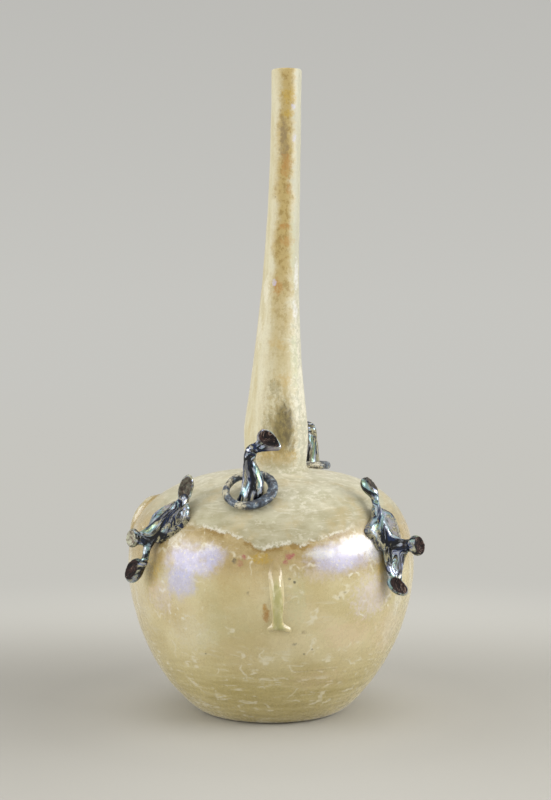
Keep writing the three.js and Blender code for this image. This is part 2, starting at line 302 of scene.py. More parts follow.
def drawn_web(root, edge, thickness, count, sag=0.0):
    """Thin strands side by side from one line to another, which melt into a sheet."""
    lines = []
    for points in (root, edge):
        line = [p for p, _ in smooth_line(points, [0] * len(points))]
        picks = np.linspace(0, len(line) - 1, count)
        lines.append([line[int(k)].lerp(line[min(int(k) + 1, len(line) - 1)], k % 1) for k in picks])
    strands = []
    for a, b in zip(*lines):
        middle = a.lerp(b, 0.5)
        inwards = Vector((middle.x, middle.y, 0)).normalized() * -sag
        strands.append(smooth_line([a, middle + inwards, b], [thickness * k for k in (1.3, 1.0, 0.85)]))
    rim = smooth_line(edge, [thickness * 0.95] * len(edge))
    return strands + [rim]


class Pad:
    """A pinched pad: its middle, the way it is long, the way it faces and its half sizes."""

    def __init__(self, centre, along, face, sizes, pale=0.0, dish=1.15, taper=0.0):
        self.centre = Vector(centre)
        self.along = Vector(along).normalized()
        self.across = self.along.cross(Vector(face)).normalized()
        self.face = self.across.cross(self.along).normalized()
        self.length, self.thickness, self.width = sizes
        self.pale, self.dish, self.taper = pale, dish, taper

    def local(self, x, y, z):
        """Places along, across and in front of the pad, with its taper taken out."""
        px, py, pz = x - self.centre.x, y - self.centre.y, z - self.centre.z
        a, b, c = [px * w.x + py * w.y + pz * w.z for w in (self.along, self.across, self.face)]
        return a, b / np.clip(1 - self.taper * a / self.length, 0.35, 2.0), c

    def gap(self, x, y, z):
        return self.shell(self.local(x, y, z), 1.0, self.thickness, 0.0)

    def hollow(self, x, y, z):
        return self.shell(self.local(x, y, z), 0.84, self.dish, self.thickness * 0.9)

    def shell(self, place, share, thickness, proud):
        """About how far outside an ellipsoid a place lies."""
        a, b, c = place
        sizes = (self.length * share, self.width * share, thickness)
        near = np.sqrt(sum((q / r) ** 2 for q, r in zip((a, b, c - proud), sizes)))
        far = np.sqrt(sum((q / r**2) ** 2 for q, r in zip((a, b, c - proud), sizes)))
        return near * (near - 1) / np.maximum(far, 1e-6)


def strand_gap(x, y, z, strand):
    """How far outside a strand places lie."""
    nearest = None
    for (a, thick), (b, thin) in zip(strand, strand[1:]):
        way = b - a
        px, py, pz = x - a.x, y - a.y, z - a.z
        share = np.clip((px * way.x + py * way.y + pz * way.z) / way.length_squared, 0.0, 1.0)
        gap = np.sqrt((px - way.x * share) ** 2 + (py - way.y * share) ** 2 + (pz - way.z * share) ** 2)
        gap -= thick + (thin - thick) * share
        nearest = gap if nearest is None else np.minimum(nearest, gap)
    return nearest


def melted(a, b, soft):
    """The nearer of two distances, rounded where they meet."""
    overlap = np.maximum(soft - np.abs(a - b), 0.0) / soft
    return np.minimum(a, b) - overlap**2 * soft / 4


def skin(field, low, voxel):
    """The surface where a field is zero: a vertex in each cell that it crosses, and quads."""
    cells, places, faces = [], [], []
    for axis in range(3):
        first, second = [slice(None)] * 3, [slice(None)] * 3
        first[axis], second[axis] = slice(None, -1), slice(1, None)
        here, there = field[tuple(first)], field[tuple(second)]
        at = np.argwhere((here < 0) != (there < 0))
        near, far = here[tuple(at.T)], there[tuple(at.T)]
        point = at.astype(float)
        point[:, axis] += near / (near - far)
        shifts = np.zeros((4, 3), int)
        shifts[[1, 2], (axis + 1) % 3] = -1
        shifts[[2, 3], (axis + 2) % 3] = -1
        around = at[:, None] + shifts
        around[near >= 0] = around[near >= 0][:, ::-1]
        cells.append(np.ravel_multi_index(around.reshape(-1, 3).T, field.shape))
        places.append(np.repeat(point, 4, axis=0))
    _, inverse = np.unique(np.concatenate(cells), return_inverse=True)
    places = np.concatenate(places)
    counts = np.bincount(inverse)
    vertices = np.stack([np.bincount(inverse, places[:, d]) / counts for d in range(3)], axis=1)
    return low + vertices * voxel, inverse.reshape(-1, 4)


def fused(name, strands, soft, pads=(), foot=0.0, reach=FOOT_REACH, grain=0.08, voxel=VOXEL, rounds=3):
    """Strands of soft glass melted into one skin, with dished pads and a foot on the wall."""
    balls = [ball for strand in strands for ball in strand] + [(p.centre, p.length) for p in pads]
    margin = 0.8 + max(reach, 1.6)
    low = np.min([np.array(c) - r for c, r in balls], axis=0) - margin
    high = np.max([np.array(c) + r for c, r in balls], axis=0) + margin
    lines = [np.arange(a, b, voxel) for a, b in zip(low, high)]
    x, y, z = lines[0][:, None, None], lines[1][None, :, None], lines[2][None, None, :]
    field = np.full([len(line) for line in lines], 9.0)
    for strand in strands:
        ends = [np.array(c) + d * (r + margin) for c, r in strand for d in (-1, 1)]
        begin = np.maximum(((np.min(ends, axis=0) - low) / voxel).astype(int), 0)
        end = ((np.max(ends, axis=0) - low) / voxel).astype(int) + 1
        part = tuple(slice(a, b) for a, b in zip(begin, end))
        gap = strand_gap(x[part[0]], y[:, part[1]], z[:, :, part[2]], strand)
        field[part] = melted(field[part], gap, soft)
    for pad in pads:
        field = melted(field, pad.gap(x, y, z), soft)
    if foot:
        wall = wall_gap(x, y, z)
        near = field - reach
        field = melted(field, wall + FOOT_SINK, foot)
        field = np.maximum(field, np.maximum(near, -FOOT_DEPTH - wall))
    for pad in pads:
        field = -melted(-field, pad.hollow(x, y, z), 0.35)
    vertices, faces = skin(field, low, voxel)
    obj = softened(make_object(name, vertices, faces.tolist()), rounds)
    places, normals = np.zeros(len(obj.data.vertices) * 3), np.zeros(len(obj.data.vertices) * 3)
    obj.data.vertices.foreach_get("co", places)
    obj.data.vertex_normals.foreach_get("vector", normals)
    places, normals = places.reshape(-1, 3), normals.reshape(-1, 3)
    face, rim, pale = pad_shares(places, normals, pads)
    push = grain * (noise_at(*places.T, 2.0) + 0.5 * noise_at(*places.T, 0.7))
    if pads:
        push += 0.15 * face * noise_at(*places.T, 0.7)
    obj.data.vertices.foreach_set("co", (places + normals * push[:, None]).ravel())
    flow, thin = flow_lines(places, strands)
    shares = {"face": face, "rim": rim, "pale": pale, "thin": thin, "proud": wall_gap(*places.T)}
    for label, values in shares.items():
        obj.data.attributes.new(label, "FLOAT", "POINT").data.foreach_set("value", values)
    obj.data.attributes.new("flow", "FLOAT_VECTOR", "POINT").data.foreach_set("vector", flow.ravel())
    return to_metres(obj)


def softened(obj, rounds):
    """The object with its mesh smoothed a few times."""
    soften = obj.modifiers.new("soften", "SMOOTH")
    soften.factor = 0.5
    soften.iterations = rounds
    bpy.context.view_layer.update()
    done = bpy.data.meshes.new_from_object(obj.evaluated_get(bpy.context.evaluated_depsgraph_get()))
    obj.modifiers.clear()
    obj.data = done
    done.name = obj.name
    return obj


def pad_shares(places, normals, pads):
    """For each vertex, how much it lies in a pad's hollow, on its rim, and in a pale hollow."""
    face, rim, pale = (np.zeros(len(places)) for _ in range(3))
    for pad in pads:
        a, b, c = pad.local(*places.T)
        out = np.hypot(a / pad.length, b / pad.width)
        facing = smoothstep(normals @ np.array(pad.face), 0.0, 0.5) * (np.abs(c) < pad.thickness * 1.6)
        inside = facing * (1 - smoothstep(out, 0.80, 0.90))
        face = np.maximum(face, inside)
        pale = np.maximum(pale, inside * pad.pale)
        rim = np.maximum(rim, smoothstep(out, 0.80, 0.90) * (1 - smoothstep(out, 0.98, 1.1)) * facing)
    return face, rim, pale


def flow_lines(places, strands):
    """Places squeezed along the strands, for streaks that run with them, and thin parts."""
    ways, thick, total = np.zeros(places.shape), np.zeros(len(places)), np.full(len(places), 1e-9)
    for strand in strands:
        for (a, big), (b, small) in zip(strand[::2], strand[2::2]):
            gap = strand_gap(*places.T, [(a, big), (b, small)])
            weight = np.exp(-np.maximum(gap, 0.0) * 2.5)
            ways += weight[:, None] * np.array((b - a).normalized())
            thick += weight * (big + small) / 2
            total += weight
    ways /= np.linalg.norm(ways, axis=1)[:, None] + 1e-9
    middle = places - places.mean(axis=0)
    along = np.sum(middle * ways, axis=1)[:, None] * ways
    return middle - 0.8 * along, 1 - smoothstep(thick / total, 0.85, 1.2)


# Materials


class Nodes:
    """Short calls for a material's node tree."""

    def __init__(self, name):
        self.material = bpy.data.materials.new(name)
        self.material.use_nodes = True
        self.tree = self.material.node_tree
        self.shader = self.tree.nodes["Principled BSDF"]
        self.output = self.tree.nodes["Material Output"]
        coords = self.node("ShaderNodeTexCoord").outputs["Object"]
        self.place = self.vector("SCALE", coords, scale=1000.0)  # in millimetres
        split = self.node("ShaderNodeSeparateXYZ")
        self.link(self.place, split.inputs[0])
        self.x, self.y, self.z = split.outputs

    def node(self, kind, **settings):
        made = self.tree.nodes.new(kind)
        for key, value in settings.items():
            setattr(made, key, value)
        return made

    def link(self, source, socket):
        if isinstance(source, bpy.types.NodeSocket):
            self.tree.links.new(source, socket)
        else:
            socket.default_value = source

    def vector(self, operation, a, b=None, scale=None):
        made = self.node("ShaderNodeVectorMath", operation=operation)
        self.link(a, made.inputs[0])
        if b is not None:
            self.link(b, made.inputs[1])
        if scale is not None:
            made.inputs["Scale"].default_value = scale
        return made.outputs["Value" if operation == "LENGTH" else "Vector"]

    def maths(self, operation, a, b=0.0, c=None):
        made = self.node("ShaderNodeMath", operation=operation)
        self.link(a, made.inputs[0])
        self.link(b, made.inputs[1])
        if c is not None:
            self.link(c, made.inputs[2])
        return made.outputs[0]

    def noise(self, size, detail=4.0, rough=0.55, stretch=None, shift=None):
        """Noise from 0 to 1 with patches of about a size in millimetres."""
        made = self.node("ShaderNodeTexNoise")
        place = self.vector("MULTIPLY", self.place, stretch) if stretch else self.place
        if shift:
            place = self.vector("ADD", place, shift)
        self.link(place, made.inputs["Vector"])
        made.inputs["Scale"].default_value = 1.0 / size
        made.inputs["Detail"].default_value = detail
        made.inputs["Roughness"].default_value = rough
        return made.outputs["Fac"]

    def pits(self, size):
        made = self.node("ShaderNodeTexVoronoi")
        self.link(self.place, made.inputs["Vector"])
        made.inputs["Scale"].default_value = 1.0 / size
        return made.outputs["Distance"]

    def spot(self, place, wide, tall, ragged, fade=0.3):
        """1 at a place, fading to 0 about a half width and half height from it."""
        off = self.vector("SUBTRACT", self.place, tuple(place))
        away = self.vector("LENGTH", self.vector("MULTIPLY", off, (1 / wide, 1 / wide, 1 / tall)))
        return self.step(self.maths("ADD", away, ragged), 0.95 + fade, 0.95 - fade)

    def step(self, value, low, high):
        made = self.node("ShaderNodeMapRange", interpolation_type="SMOOTHSTEP")
        self.link(value, made.inputs["Value"])
        self.link(low, made.inputs["From Min"])
        self.link(high, made.inputs["From Max"])
        return made.outputs["Result"]

    def mix(self, share, a, b):
        made = self.node("ShaderNodeMix", data_type="RGBA")
        self.link(share, made.inputs["Factor"])
        self.link((*a, 1.0) if isinstance(a, tuple) else a, made.inputs["A"])
        self.link((*b, 1.0) if isinstance(b, tuple) else b, made.inputs["B"])
        return made.outputs["Result"]

    def ramp(self, value, stops):
        made = self.node("ShaderNodeValToRGB")
        band = made.color_ramp
        while len(band.elements) < len(stops):
            band.elements.new(0.5)
        for element, (at, colour) in zip(band.elements, stops):
            element.position = at
            element.color = (*colour, 1.0)
        self.link(value, made.inputs["Fac"])
        return made.outputs["Color"]

    def bump(self, height, distance, strength=1.0):
        made = self.node("ShaderNodeBump")
        self.link(height, made.inputs["Height"])
        made.inputs["Distance"].default_value = distance * MM
        made.inputs["Strength"].default_value = strength
        return made.outputs["Normal"]

    def attribute(self, name):
        return self.node("ShaderNodeAttribute", attribute_name=name).outputs["Fac"]

    def set(self, **inputs):
        for name, value in inputs.items():
            self.link(value, self.shader.inputs[name.replace("_", " ")])


def times(n, *values):
    total = values[0]
    for value in values[1:]:
        total = n.maths("MULTIPLY", total, value)
    return total


def inverse(n, value):
    return n.maths("SUBTRACT", 1.0, value)


def layered(n, colour, *layers):
    """Colours laid one over another, each with its strength and the masks that bound it."""
    for coat, strength, *masks in layers:
        colour = n.mix(times(n, strength, *masks), colour, coat)
    return colour


CREAM = (0.90, 0.86, 0.70)
WHITE = (0.95, 0.95, 0.96)
LILAC = (0.66, 0.66, 0.95)
ROSE = (0.86, 0.76, 0.76)
PEARL = (0.82, 0.74, 0.66)
PEACH = (0.86, 0.66, 0.42)
PINK = (0.48, 0.09, 0.12)
GOLD = (0.58, 0.38, 0.05)
AMBER = (0.58, 0.34, 0.08)
RUST = (0.52, 0.27, 0.06)
OCHRE = (0.62, 0.44, 0.16)
BROWN = (0.33, 0.24, 0.11)
OLIVE = (0.24, 0.20, 0.08)
GREEN = (0.64, 0.66, 0.40)
DARK = (0.07, 0.06, 0.04)
# painted light: a warm glow laid where the figures' shadows fall on the body
SHADOW_GLOW = (0.86, 0.62, 0.20)

# Stains on the body, with painted light and shade among them: azimuth, distance up the wall, half width and height,
# strength, colour
BODY_STAINS_AND_LIGHT = [
    (-11, 6.5, 9.0, 5.0, 0.35, OCHRE), (-3.6, 12.2, 3.2, 1.7, 1.0, GOLD), (10, 15.6, 6.0, 0.7, 0.5, AMBER),
    (-10.1, 12.6, 0.9, 0.9, 0.8, PINK), (-11.5, 10.4, 1.0, 1.2, 0.4, PINK), (7.2, 12.9, 1.5, 1.0, 0.8, PINK),
    # the rust and amber marks at azimuths -1.6 and -1.9, left of the front rib, are painted shade along its flank
    (5.4, 11.0, 0.8, 0.9, 0.7, PINK), (-1.6, -6.2, 1.1, 3.6, 1.0, RUST), (-1.9, -4.0, 1.0, 1.6, 0.9, AMBER),
    # the glow marks beside the legs (azimuths -51.8 and 46.5) are painted warm light in the figures' shadows
    (10.0, -2.0, 3.0, 7.5, 0.35, GREEN), (-42.0, 17.5, 4.0, 3.0, 0.6, CREAM), (-51.8, 3.2, 3.0, 7.0, 0.95, SHADOW_GLOW),
    (-50.0, 11.0, 4.0, 3.0, 0.7, OCHRE), (46.5, 3.5, 1.8, 8.0, 0.9, SHADOW_GLOW),
    # the rose patch at azimuth 42, up -2 is partly rosy weathering and partly a painted highlight, the pale lower
    # fringe of the right lamp's reflection
    (57, 12.0, 1.6, 6.0, 0.6, AMBER), (42, -2.0, 8.0, 7.0, 0.75, ROSE), (20, 7.5, 8.0, 3.0, 0.35, ROSE),
    (33, -14.0, 9.0, 4.5, 0.5, PEACH), (58, -15.0, 9.0, 9.0, 0.5, PEACH), (22, -31.0, 10.0, 4.0, 0.3, PEACH),
    # the cream streaks and patches at azimuths between 60 and 77 either side are painted highlights, the lamps' light
    # on the body's sides
    (60, -5.0, 2.2, 7.0, 0.8, CREAM), (-77, 1.0, 2.0, 9.0, 0.7, CREAM), (-68, -8.0, 1.4, 8.0, 0.6, CREAM),
    (74, 2.0, 1.6, 9.0, 0.6, CREAM), (-62, -6.0, 5.0, 10.0, 0.35, CREAM), (60, -13.0, 6.0, 8.0, 0.35, CREAM), (-48, -3.0, 6.0, 5.0, 0.5, ROSE), (-34, -14.0, 8.0, 6.0, 0.3, CREAM),
    (-13.9, 11.3, 0.75, 0.95, 0.8, DARK), (-8.4, 1.0, 0.5, 0.8, 0.6, DARK), (7.1, 5.6, 0.55, 0.4, 0.75, DARK),
    (8.8, 4.5, 0.5, 0.4, 0.8, DARK), (17.6, -28.3, 0.6, 0.3, 0.9, DARK), (26.6, -1.3, 0.5, 0.5, 0.5, DARK),
    (29, 0.4, 0.8, 0.35, 0.45, DARK), (13.0, -12.2, 1.0, 0.7, 0.5, BROWN), (22, -27.0, 10.0, 0.22, 0.55, BROWN),
    (9.5, -16.5, 0.8, 0.5, 0.6, DARK), (4.0, -31.0, 0.4, 0.3, 0.6, DARK), (79.5, 42.5, 7.0, 1.6, 0.55, OCHRE),
    (12, 38.0, 2.6, 1.0, 0.55, ROSE), (24, 30.0, 7.0, 1.6, 0.35, GREEN), (-9, 19.5, 1.3, 1.0, 0.7, OLIVE),
    (130, 6.0, 11.0, 8.0, 0.5, ROSE), (172, -12.0, 14.0, 7.0, 0.4, PEACH), (-120, 8.0, 9.0, 7.0, 0.4, OCHRE),
    (-150, -18.0, 12.0, 7.0, 0.4, CREAM), (150, 30.0, 12.0, 3.0, 0.4, OCHRE),
]
# Broken rings on the body: azimuth, distance up the wall, radius
CURLS = [(38.5, -5.6, 2.4), (33.0, 5.0, 1.8), (-41.0, -6.7, 2.2), (-46.0, 0.8, 1.6), (-37.0, -11.0, 1.6),
         (53.0, -4.6, 1.8), (110.0, -4.0, 2.4), (-140.0, 2.0, 2.4)]
# Stains on the neck, with painted light among them (the lilac spots are painted glints, the cream and white streaks at
# azimuths 50 to 66 either side painted highlights): azimuth, height, half width and height, strength, colour
NECK_STAINS_AND_GLINTS = [
    (10, 210.5, 2.6, 2.2, 0.75, GOLD), (8, 204.6, 2.0, 1.2, 0.85, GOLD), (-8, 199.0, 1.3, 4.2, 0.95, BROWN),
    # the lilac spots are painted glints
    (-6, 193.0, 1.6, 5.0, 0.9, BROWN), (4, 187.0, 1.8, 4.0, 0.8, RUST), (30, 207.0, 1.0, 0.8, 0.6, LILAC), (34, 196.5, 0.8, 1.3, 0.5, LILAC),
    (15, 179.5, 0.9, 2.4, 0.8, RUST), (-33, 176.5, 0.4, 0.35, 0.9, BROWN), (4, 166.5, 2.0, 1.0, 0.9, RUST),
    (20, 161.5, 2.8, 1.6, 0.6, RUST), (-8, 146.0, 1.5, 2.6, 0.9, RUST), (-20, 147.5, 0.8, 1.1, 0.6, LILAC),
    (-6, 127.0, 2.2, 1.6, 0.5, OCHRE), (8, 125.5, 1.4, 1.0, 0.5, OCHRE), (14, 114.5, 3.2, 2.2, 0.6, OCHRE), (-12, 99.0, 3.0, 5.0, 0.45, OLIVE), (0, 88.0, 7.0, 4.0, 0.8, OCHRE),
    # painted highlights at the neck's sides: the cream and white streaks at azimuths 50 to 66
    (-50, 145.0, 1.5, 4.5, 0.7, CREAM), (-62, 131.0, 2.0, 6.0, 0.6, CREAM), (58, 150.0, 1.4, 5.0, 0.7, WHITE),
    (52, 138.0, 1.4, 3.0, 0.6, WHITE), (66, 112.0, 2.4, 8.0, 0.7, CREAM), (45, 121.0, 2.0, 9.0, 0.5, GREEN),
    (38, 160.0, 1.2, 12.0, 0.4, GREEN), (-4, 112.0, 2.0, 3.0, 0.5, OLIVE), (8, 92.0, 3.0, 3.0, 0.5, OLIVE),
    (150, 185.0, 3.0, 9.0, 0.6, RUST), (190, 120.0, 5.0, 9.0, 0.6, OLIVE), (-110, 150.0, 3.0, 12.0, 0.4, OCHRE),
]
# Weathered patches, glossy and a little metallic so they mirror the lamps, whose lilac, white and pearl colours are
# painted highlights where the lamps' reflections fall: azimuth, distance up, half sizes, gloss, colour
SHEEN_SPOTS = [
    (-33, 10.0, 8.0, 5.0, 0.11, LILAC), (-37, 3.5, 5.5, 5.0, 0.07, LILAC), (28, 11.5, 10.0, 4.0, 0.06, LILAC),
    (36, 15.2, 6.8, 2.9, 0.22, WHITE),
    (20, 13.2, 6.0, 1.6, 0.12, WHITE), (-23, 12.5, 4.2, 3.2, 0.05, LILAC), (44, 13.5, 4.0, 4.5, 0.20, WHITE), (100, 10.0, 14.0, 6.0, 0.08, PEARL),
    (-165, 12.0, 15.0, 6.0, 0.08, PEARL), (-98, 4.0, 11.0, 6.0, 0.08, PEARL), (155, 9.0, 14.0, 4.0, 0.08, PEARL),
]


def neck_place(azimuth, height):
    turn, radius = math.radians(azimuth), neck_radius(height)
    return Vector((lean(height) + radius * math.sin(turn), -radius * math.cos(turn), height))


def wall_place(azimuth, up):
    return wall_frame(azimuth, up)["point"]


def scratches(n, size, width, shift, stretch=(1.0, 1.0, 1.0), rare=0.54):
    """Thin curly lines where a noise passes its middle, broken up by a second noise."""
    wave = n.maths("ABSOLUTE", n.maths("SUBTRACT", n.noise(size, 2, 0.5, stretch, shift), 0.5))
    line = n.step(wave, width, width * 0.3)
    return times(n, line, n.step(n.noise(size * 0.8, 3, shift=shift[::-1]), rare, rare + 0.08))


def curls(n):
    """Broken rings left where flakes of crust fell off."""
    wobble = n.maths("MULTIPLY_ADD", n.noise(2.6, 6, 0.66, shift=(3.0, 9.0, 1.0)), 3.4, -1.7)
    broken = n.step(n.noise(3.0, 4, 0.6, shift=(9.0, 9.0, 4.0)), 0.44, 0.52)
    total = 0.0
    for azimuth, up, size in CURLS:
        away = n.vector("LENGTH", n.vector("SUBTRACT", n.place, tuple(wall_place(azimuth, up))))
        off = n.maths("ABSOLUTE", n.maths("ADD", n.maths("SUBTRACT", away, size), wobble))
        total = n.maths("MAXIMUM", total, n.step(off, 0.50, 0.20))
    return times(n, total, broken)


def stained_and_lit(n, colour, stains, place):
    """Colour with stains, and marks of painted light and shade, ragged at their edge and mottled inside."""
    ragged = n.maths("MULTIPLY_ADD", n.noise(1.2, 7, 0.72, shift=(6.0, 2.0, 2.0)), 3.6, -1.8)
    mottle = n.maths("MULTIPLY_ADD", n.step(n.noise(0.9, 6, 0.72, (1.0, 1.0, 0.6)), 0.36, 0.62), 0.7, 0.3)
    for azimuth, up, wide, tall, strength, tint in stains:
        mask = n.spot(place(azimuth, up), wide, tall, ragged)
        colour = layered(n, colour, (tint, strength, mask, mottle))
    return colour


def wall_glass(n):
    """The milky yellow glass of the body below the crust."""
    cloud = n.noise(16.0, 4, 0.5, shift=(3.0, 7.0, 1.0))
    warm = n.noise(19.0, 4, 0.55, shift=(9.0, 4.0, 7.0))
    grain = n.noise(0.8, 6, 0.68)
    haze = n.noise(3.5, 6, 0.66, shift=(1.0, 8.0, 2.0))
    streak = n.noise(4.0, 6, 0.66, stretch=(0.28, 0.28, 2.4))
    colour = n.mix(n.step(cloud, 0.34, 0.66), (0.69, 0.575, 0.285), (0.83, 0.73, 0.43))
    band = n.mix(n.step(haze, 0.36, 0.64), (0.42, 0.285, 0.09), (0.57, 0.43, 0.19))
    foot = n.mix(n.step(streak, 0.35, 0.65), (0.52, 0.42, 0.14), (0.68, 0.57, 0.24))
    colour = layered(
        n, colour,
        (PEACH, 0.16, n.step(warm, 0.50, 0.66)),
        (GREEN, 0.22, n.step(warm, 0.46, 0.32)),
        (band, 0.85, n.step(n.z, 50.0, 59.0)),
        (foot, 0.90, n.step(n.z, 33.0, 12.0)),
        (CREAM, 0.35, n.step(streak, 0.56, 0.72)),
        ((0.50, 0.37, 0.15), 0.12, n.step(grain, 0.44, 0.62)),
        ((0.52, 0.32, 0.18), 0.30, n.step(grain, 0.52, 0.60), n.step(n.z, 50.0, 56.0), n.step(haze, 0.46, 0.56)),
    )
    low = scratches(n, 5.0, 0.038, (3.0, 4.0, 8.0), (0.30, 0.30, 2.0), 0.51)
    marks = n.maths("MAXIMUM", scratches(n, 8.0, 0.028, (1.0, 2.0, 3.0)), times(n, low, n.step(n.z, 34.0, 24.0)))
    flakes = n.step(n.noise(1.9, 7, 0.74, (0.5, 0.5, 2.2), (1.0, 2.0, 3.0)), 0.63, 0.68)
    dots = times(n, n.step(n.pits(6.0), 0.07, 0.045), n.step(n.noise(9.0, 2, shift=(8.0, 1.0, 1.0)), 0.5, 0.6))
    colour = layered(
        n, colour,
        ((0.95, 0.88, 0.66), 0.70, n.maths("MAXIMUM", marks, flakes)),
        ((1.0, 0.95, 0.78), 0.80, curls(n)),
        (DARK, 0.6, dots),
    )
    return stained_and_lit(n, colour, BODY_STAINS_AND_LIGHT, wall_place)


def crust_colour(n):
    """Brushed, flaking, olive cream crust of the shoulder."""
    brush = n.noise(4.5, 7, 0.66, stretch=(0.6, 0.6, 1.6), shift=(4.0, 4.0, 0.0))
    cloud = n.noise(11.0, 4, 0.6, shift=(2.0, 6.0, 5.0))
    grain = n.noise(0.9, 6, 0.70, shift=(3.0, 1.0, 1.0))
    flakes = n.noise(2.0, 6, 0.72, stretch=(0.7, 0.7, 1.4), shift=(8.0, 3.0, 3.0))
    worn = n.noise(2.4, 7, 0.72, stretch=(0.8, 0.8, 1.3), shift=(1.0, 9.0, 4.0))
    lines = scratches(n, 7.0, 0.022, (2.0, 5.0, 4.0), (0.35, 0.35, 2.6), 0.48)
    centre = n.spot(wall_place(16, 36.5), 11.0, 5.0, n.maths("MULTIPLY_ADD", cloud, 1.6, -0.8), 0.6)
    lower = n.mix(n.step(brush, 0.34, 0.66), (0.38, 0.34, 0.195), (0.51, 0.47, 0.315))
    upper = n.mix(n.step(brush, 0.34, 0.66), (0.48, 0.44, 0.275), (0.63, 0.595, 0.425))
    colour = n.mix(n.step(n.z, 66.0, 79.0), lower, upper)
    return layered(
        n, colour,
        (OCHRE, 0.30, n.step(cloud, 0.50, 0.66)),
        ((0.56, 0.54, 0.36), 0.45, n.step(cloud, 0.48, 0.34)),
        (CREAM, 0.30, n.step(flakes, 0.56, 0.66)),
        (CREAM, 0.30, lines),
        (BROWN, 0.20, n.step(grain, 0.56, 0.66)),
        ((0.80, 0.76, 0.62), 0.75, n.step(worn, 0.50, 0.60), n.maths("MAXIMUM", centre, n.step(n.z, 74.0, 84.0))),
    )


def neck_colour(n):
    """Pale glass with the dirt inside showing as an ochre core, whiter at its right edge."""
    slope = (MOUTH_SHIFT - ROOT_SHIFT) / (HEIGHT - SHOULDER_TOP)
    middle = n.maths("MULTIPLY_ADD", n.z, slope, ROOT_SHIFT - SHOULDER_TOP * slope)
    around = n.maths("ARCTAN2", n.maths("SUBTRACT", n.x, middle), n.maths("MULTIPLY", n.y, -1.0))
    wander = n.maths("MULTIPLY_ADD", n.noise(4.0, 7, 0.72, (0.5, 0.5, 0.8)), 1.5, -0.75)
    place = n.maths("ADD", around, wander)
    streaks = n.noise(3.0, 6, 0.62, stretch=(1.0, 1.0, 0.16))
    mottle = n.noise(1.5, 6, 0.70, stretch=(1.0, 1.0, 0.7), shift=(2.0, 2.0, 9.0))
    grain = n.noise(0.7, 6, 0.70)
    core = times(n, n.step(place, -0.80, -0.15), n.step(place, 0.75, 0.20), n.step(n.z, 100.0, 165.0))
    core = n.maths("MAXIMUM", core, times(n, n.step(n.noise(7.0, 5, 0.6, (1.0, 1.0, 0.3)), 0.52, 0.62),
                                          n.step(n.y, 0.5, 2.5), 0.7))
    colour = n.mix(n.step(streaks, 0.36, 0.64), (0.76, 0.71, 0.50), (0.67, 0.59, 0.355))
    colour = layered(
        n, colour,
        ((0.58, 0.58, 0.46), 0.75, n.step(place, 0.50, 0.90), n.step(n.y, 1.0, -1.0)),
        ((0.55, 0.40, 0.13), 0.90, core),
        ((0.36, 0.23, 0.045), 0.75, core, n.step(mottle, 0.48, 0.62)),
        (OCHRE, 0.30, n.step(mottle, 0.56, 0.66), n.step(n.z, 140.0, 100.0)),
        ((0.40, 0.28, 0.09), 0.70, n.step(mottle, 0.40, 0.56), n.step(n.z, 98.0, 92.0), n.step(place, 0.75, 0.45),
         n.step(place, -0.75, -0.45)),
        ((0.42, 0.31, 0.11), 0.60, n.step(mottle, 0.42, 0.58), n.step(n.z, 118.0, 104.0), n.step(place, 0.60, 0.35),
         n.step(place, -0.60, -0.30)),
        (RUST, 0.55, n.step(grain, 0.60, 0.67), n.maths("MAXIMUM", core, 0.12)),
        (CREAM, 0.70, n.step(n.noise(1.7, 6, 0.74, shift=(5.0, 5.0, 5.0)), 0.48, 0.54),
         n.step(n.z, 160.0, 125.0), n.step(place, 0.40, 0.70), n.step(n.y, 3.0, -2.0)),
        (BROWN, 0.12, n.step(grain, 0.46, 0.60)),
    )
    streaky = n.maths("MULTIPLY_ADD", n.noise(1.8, 6, 0.66, (1.0, 1.0, 0.4), (4.0, 2.0, 1.0)), 2.2, -1.1)
    murk = n.spot(neck_place(16, 98.5), 4.0, 9.0, streaky, 0.45)
    shade = n.mix(n.step(mottle, 0.38, 0.62), (0.11, 0.075, 0.012), (0.29, 0.225, 0.07))
    return stained_and_lit(n, layered(n, colour, (shade, 0.92, murk)), NECK_STAINS_AND_GLINTS, neck_place)


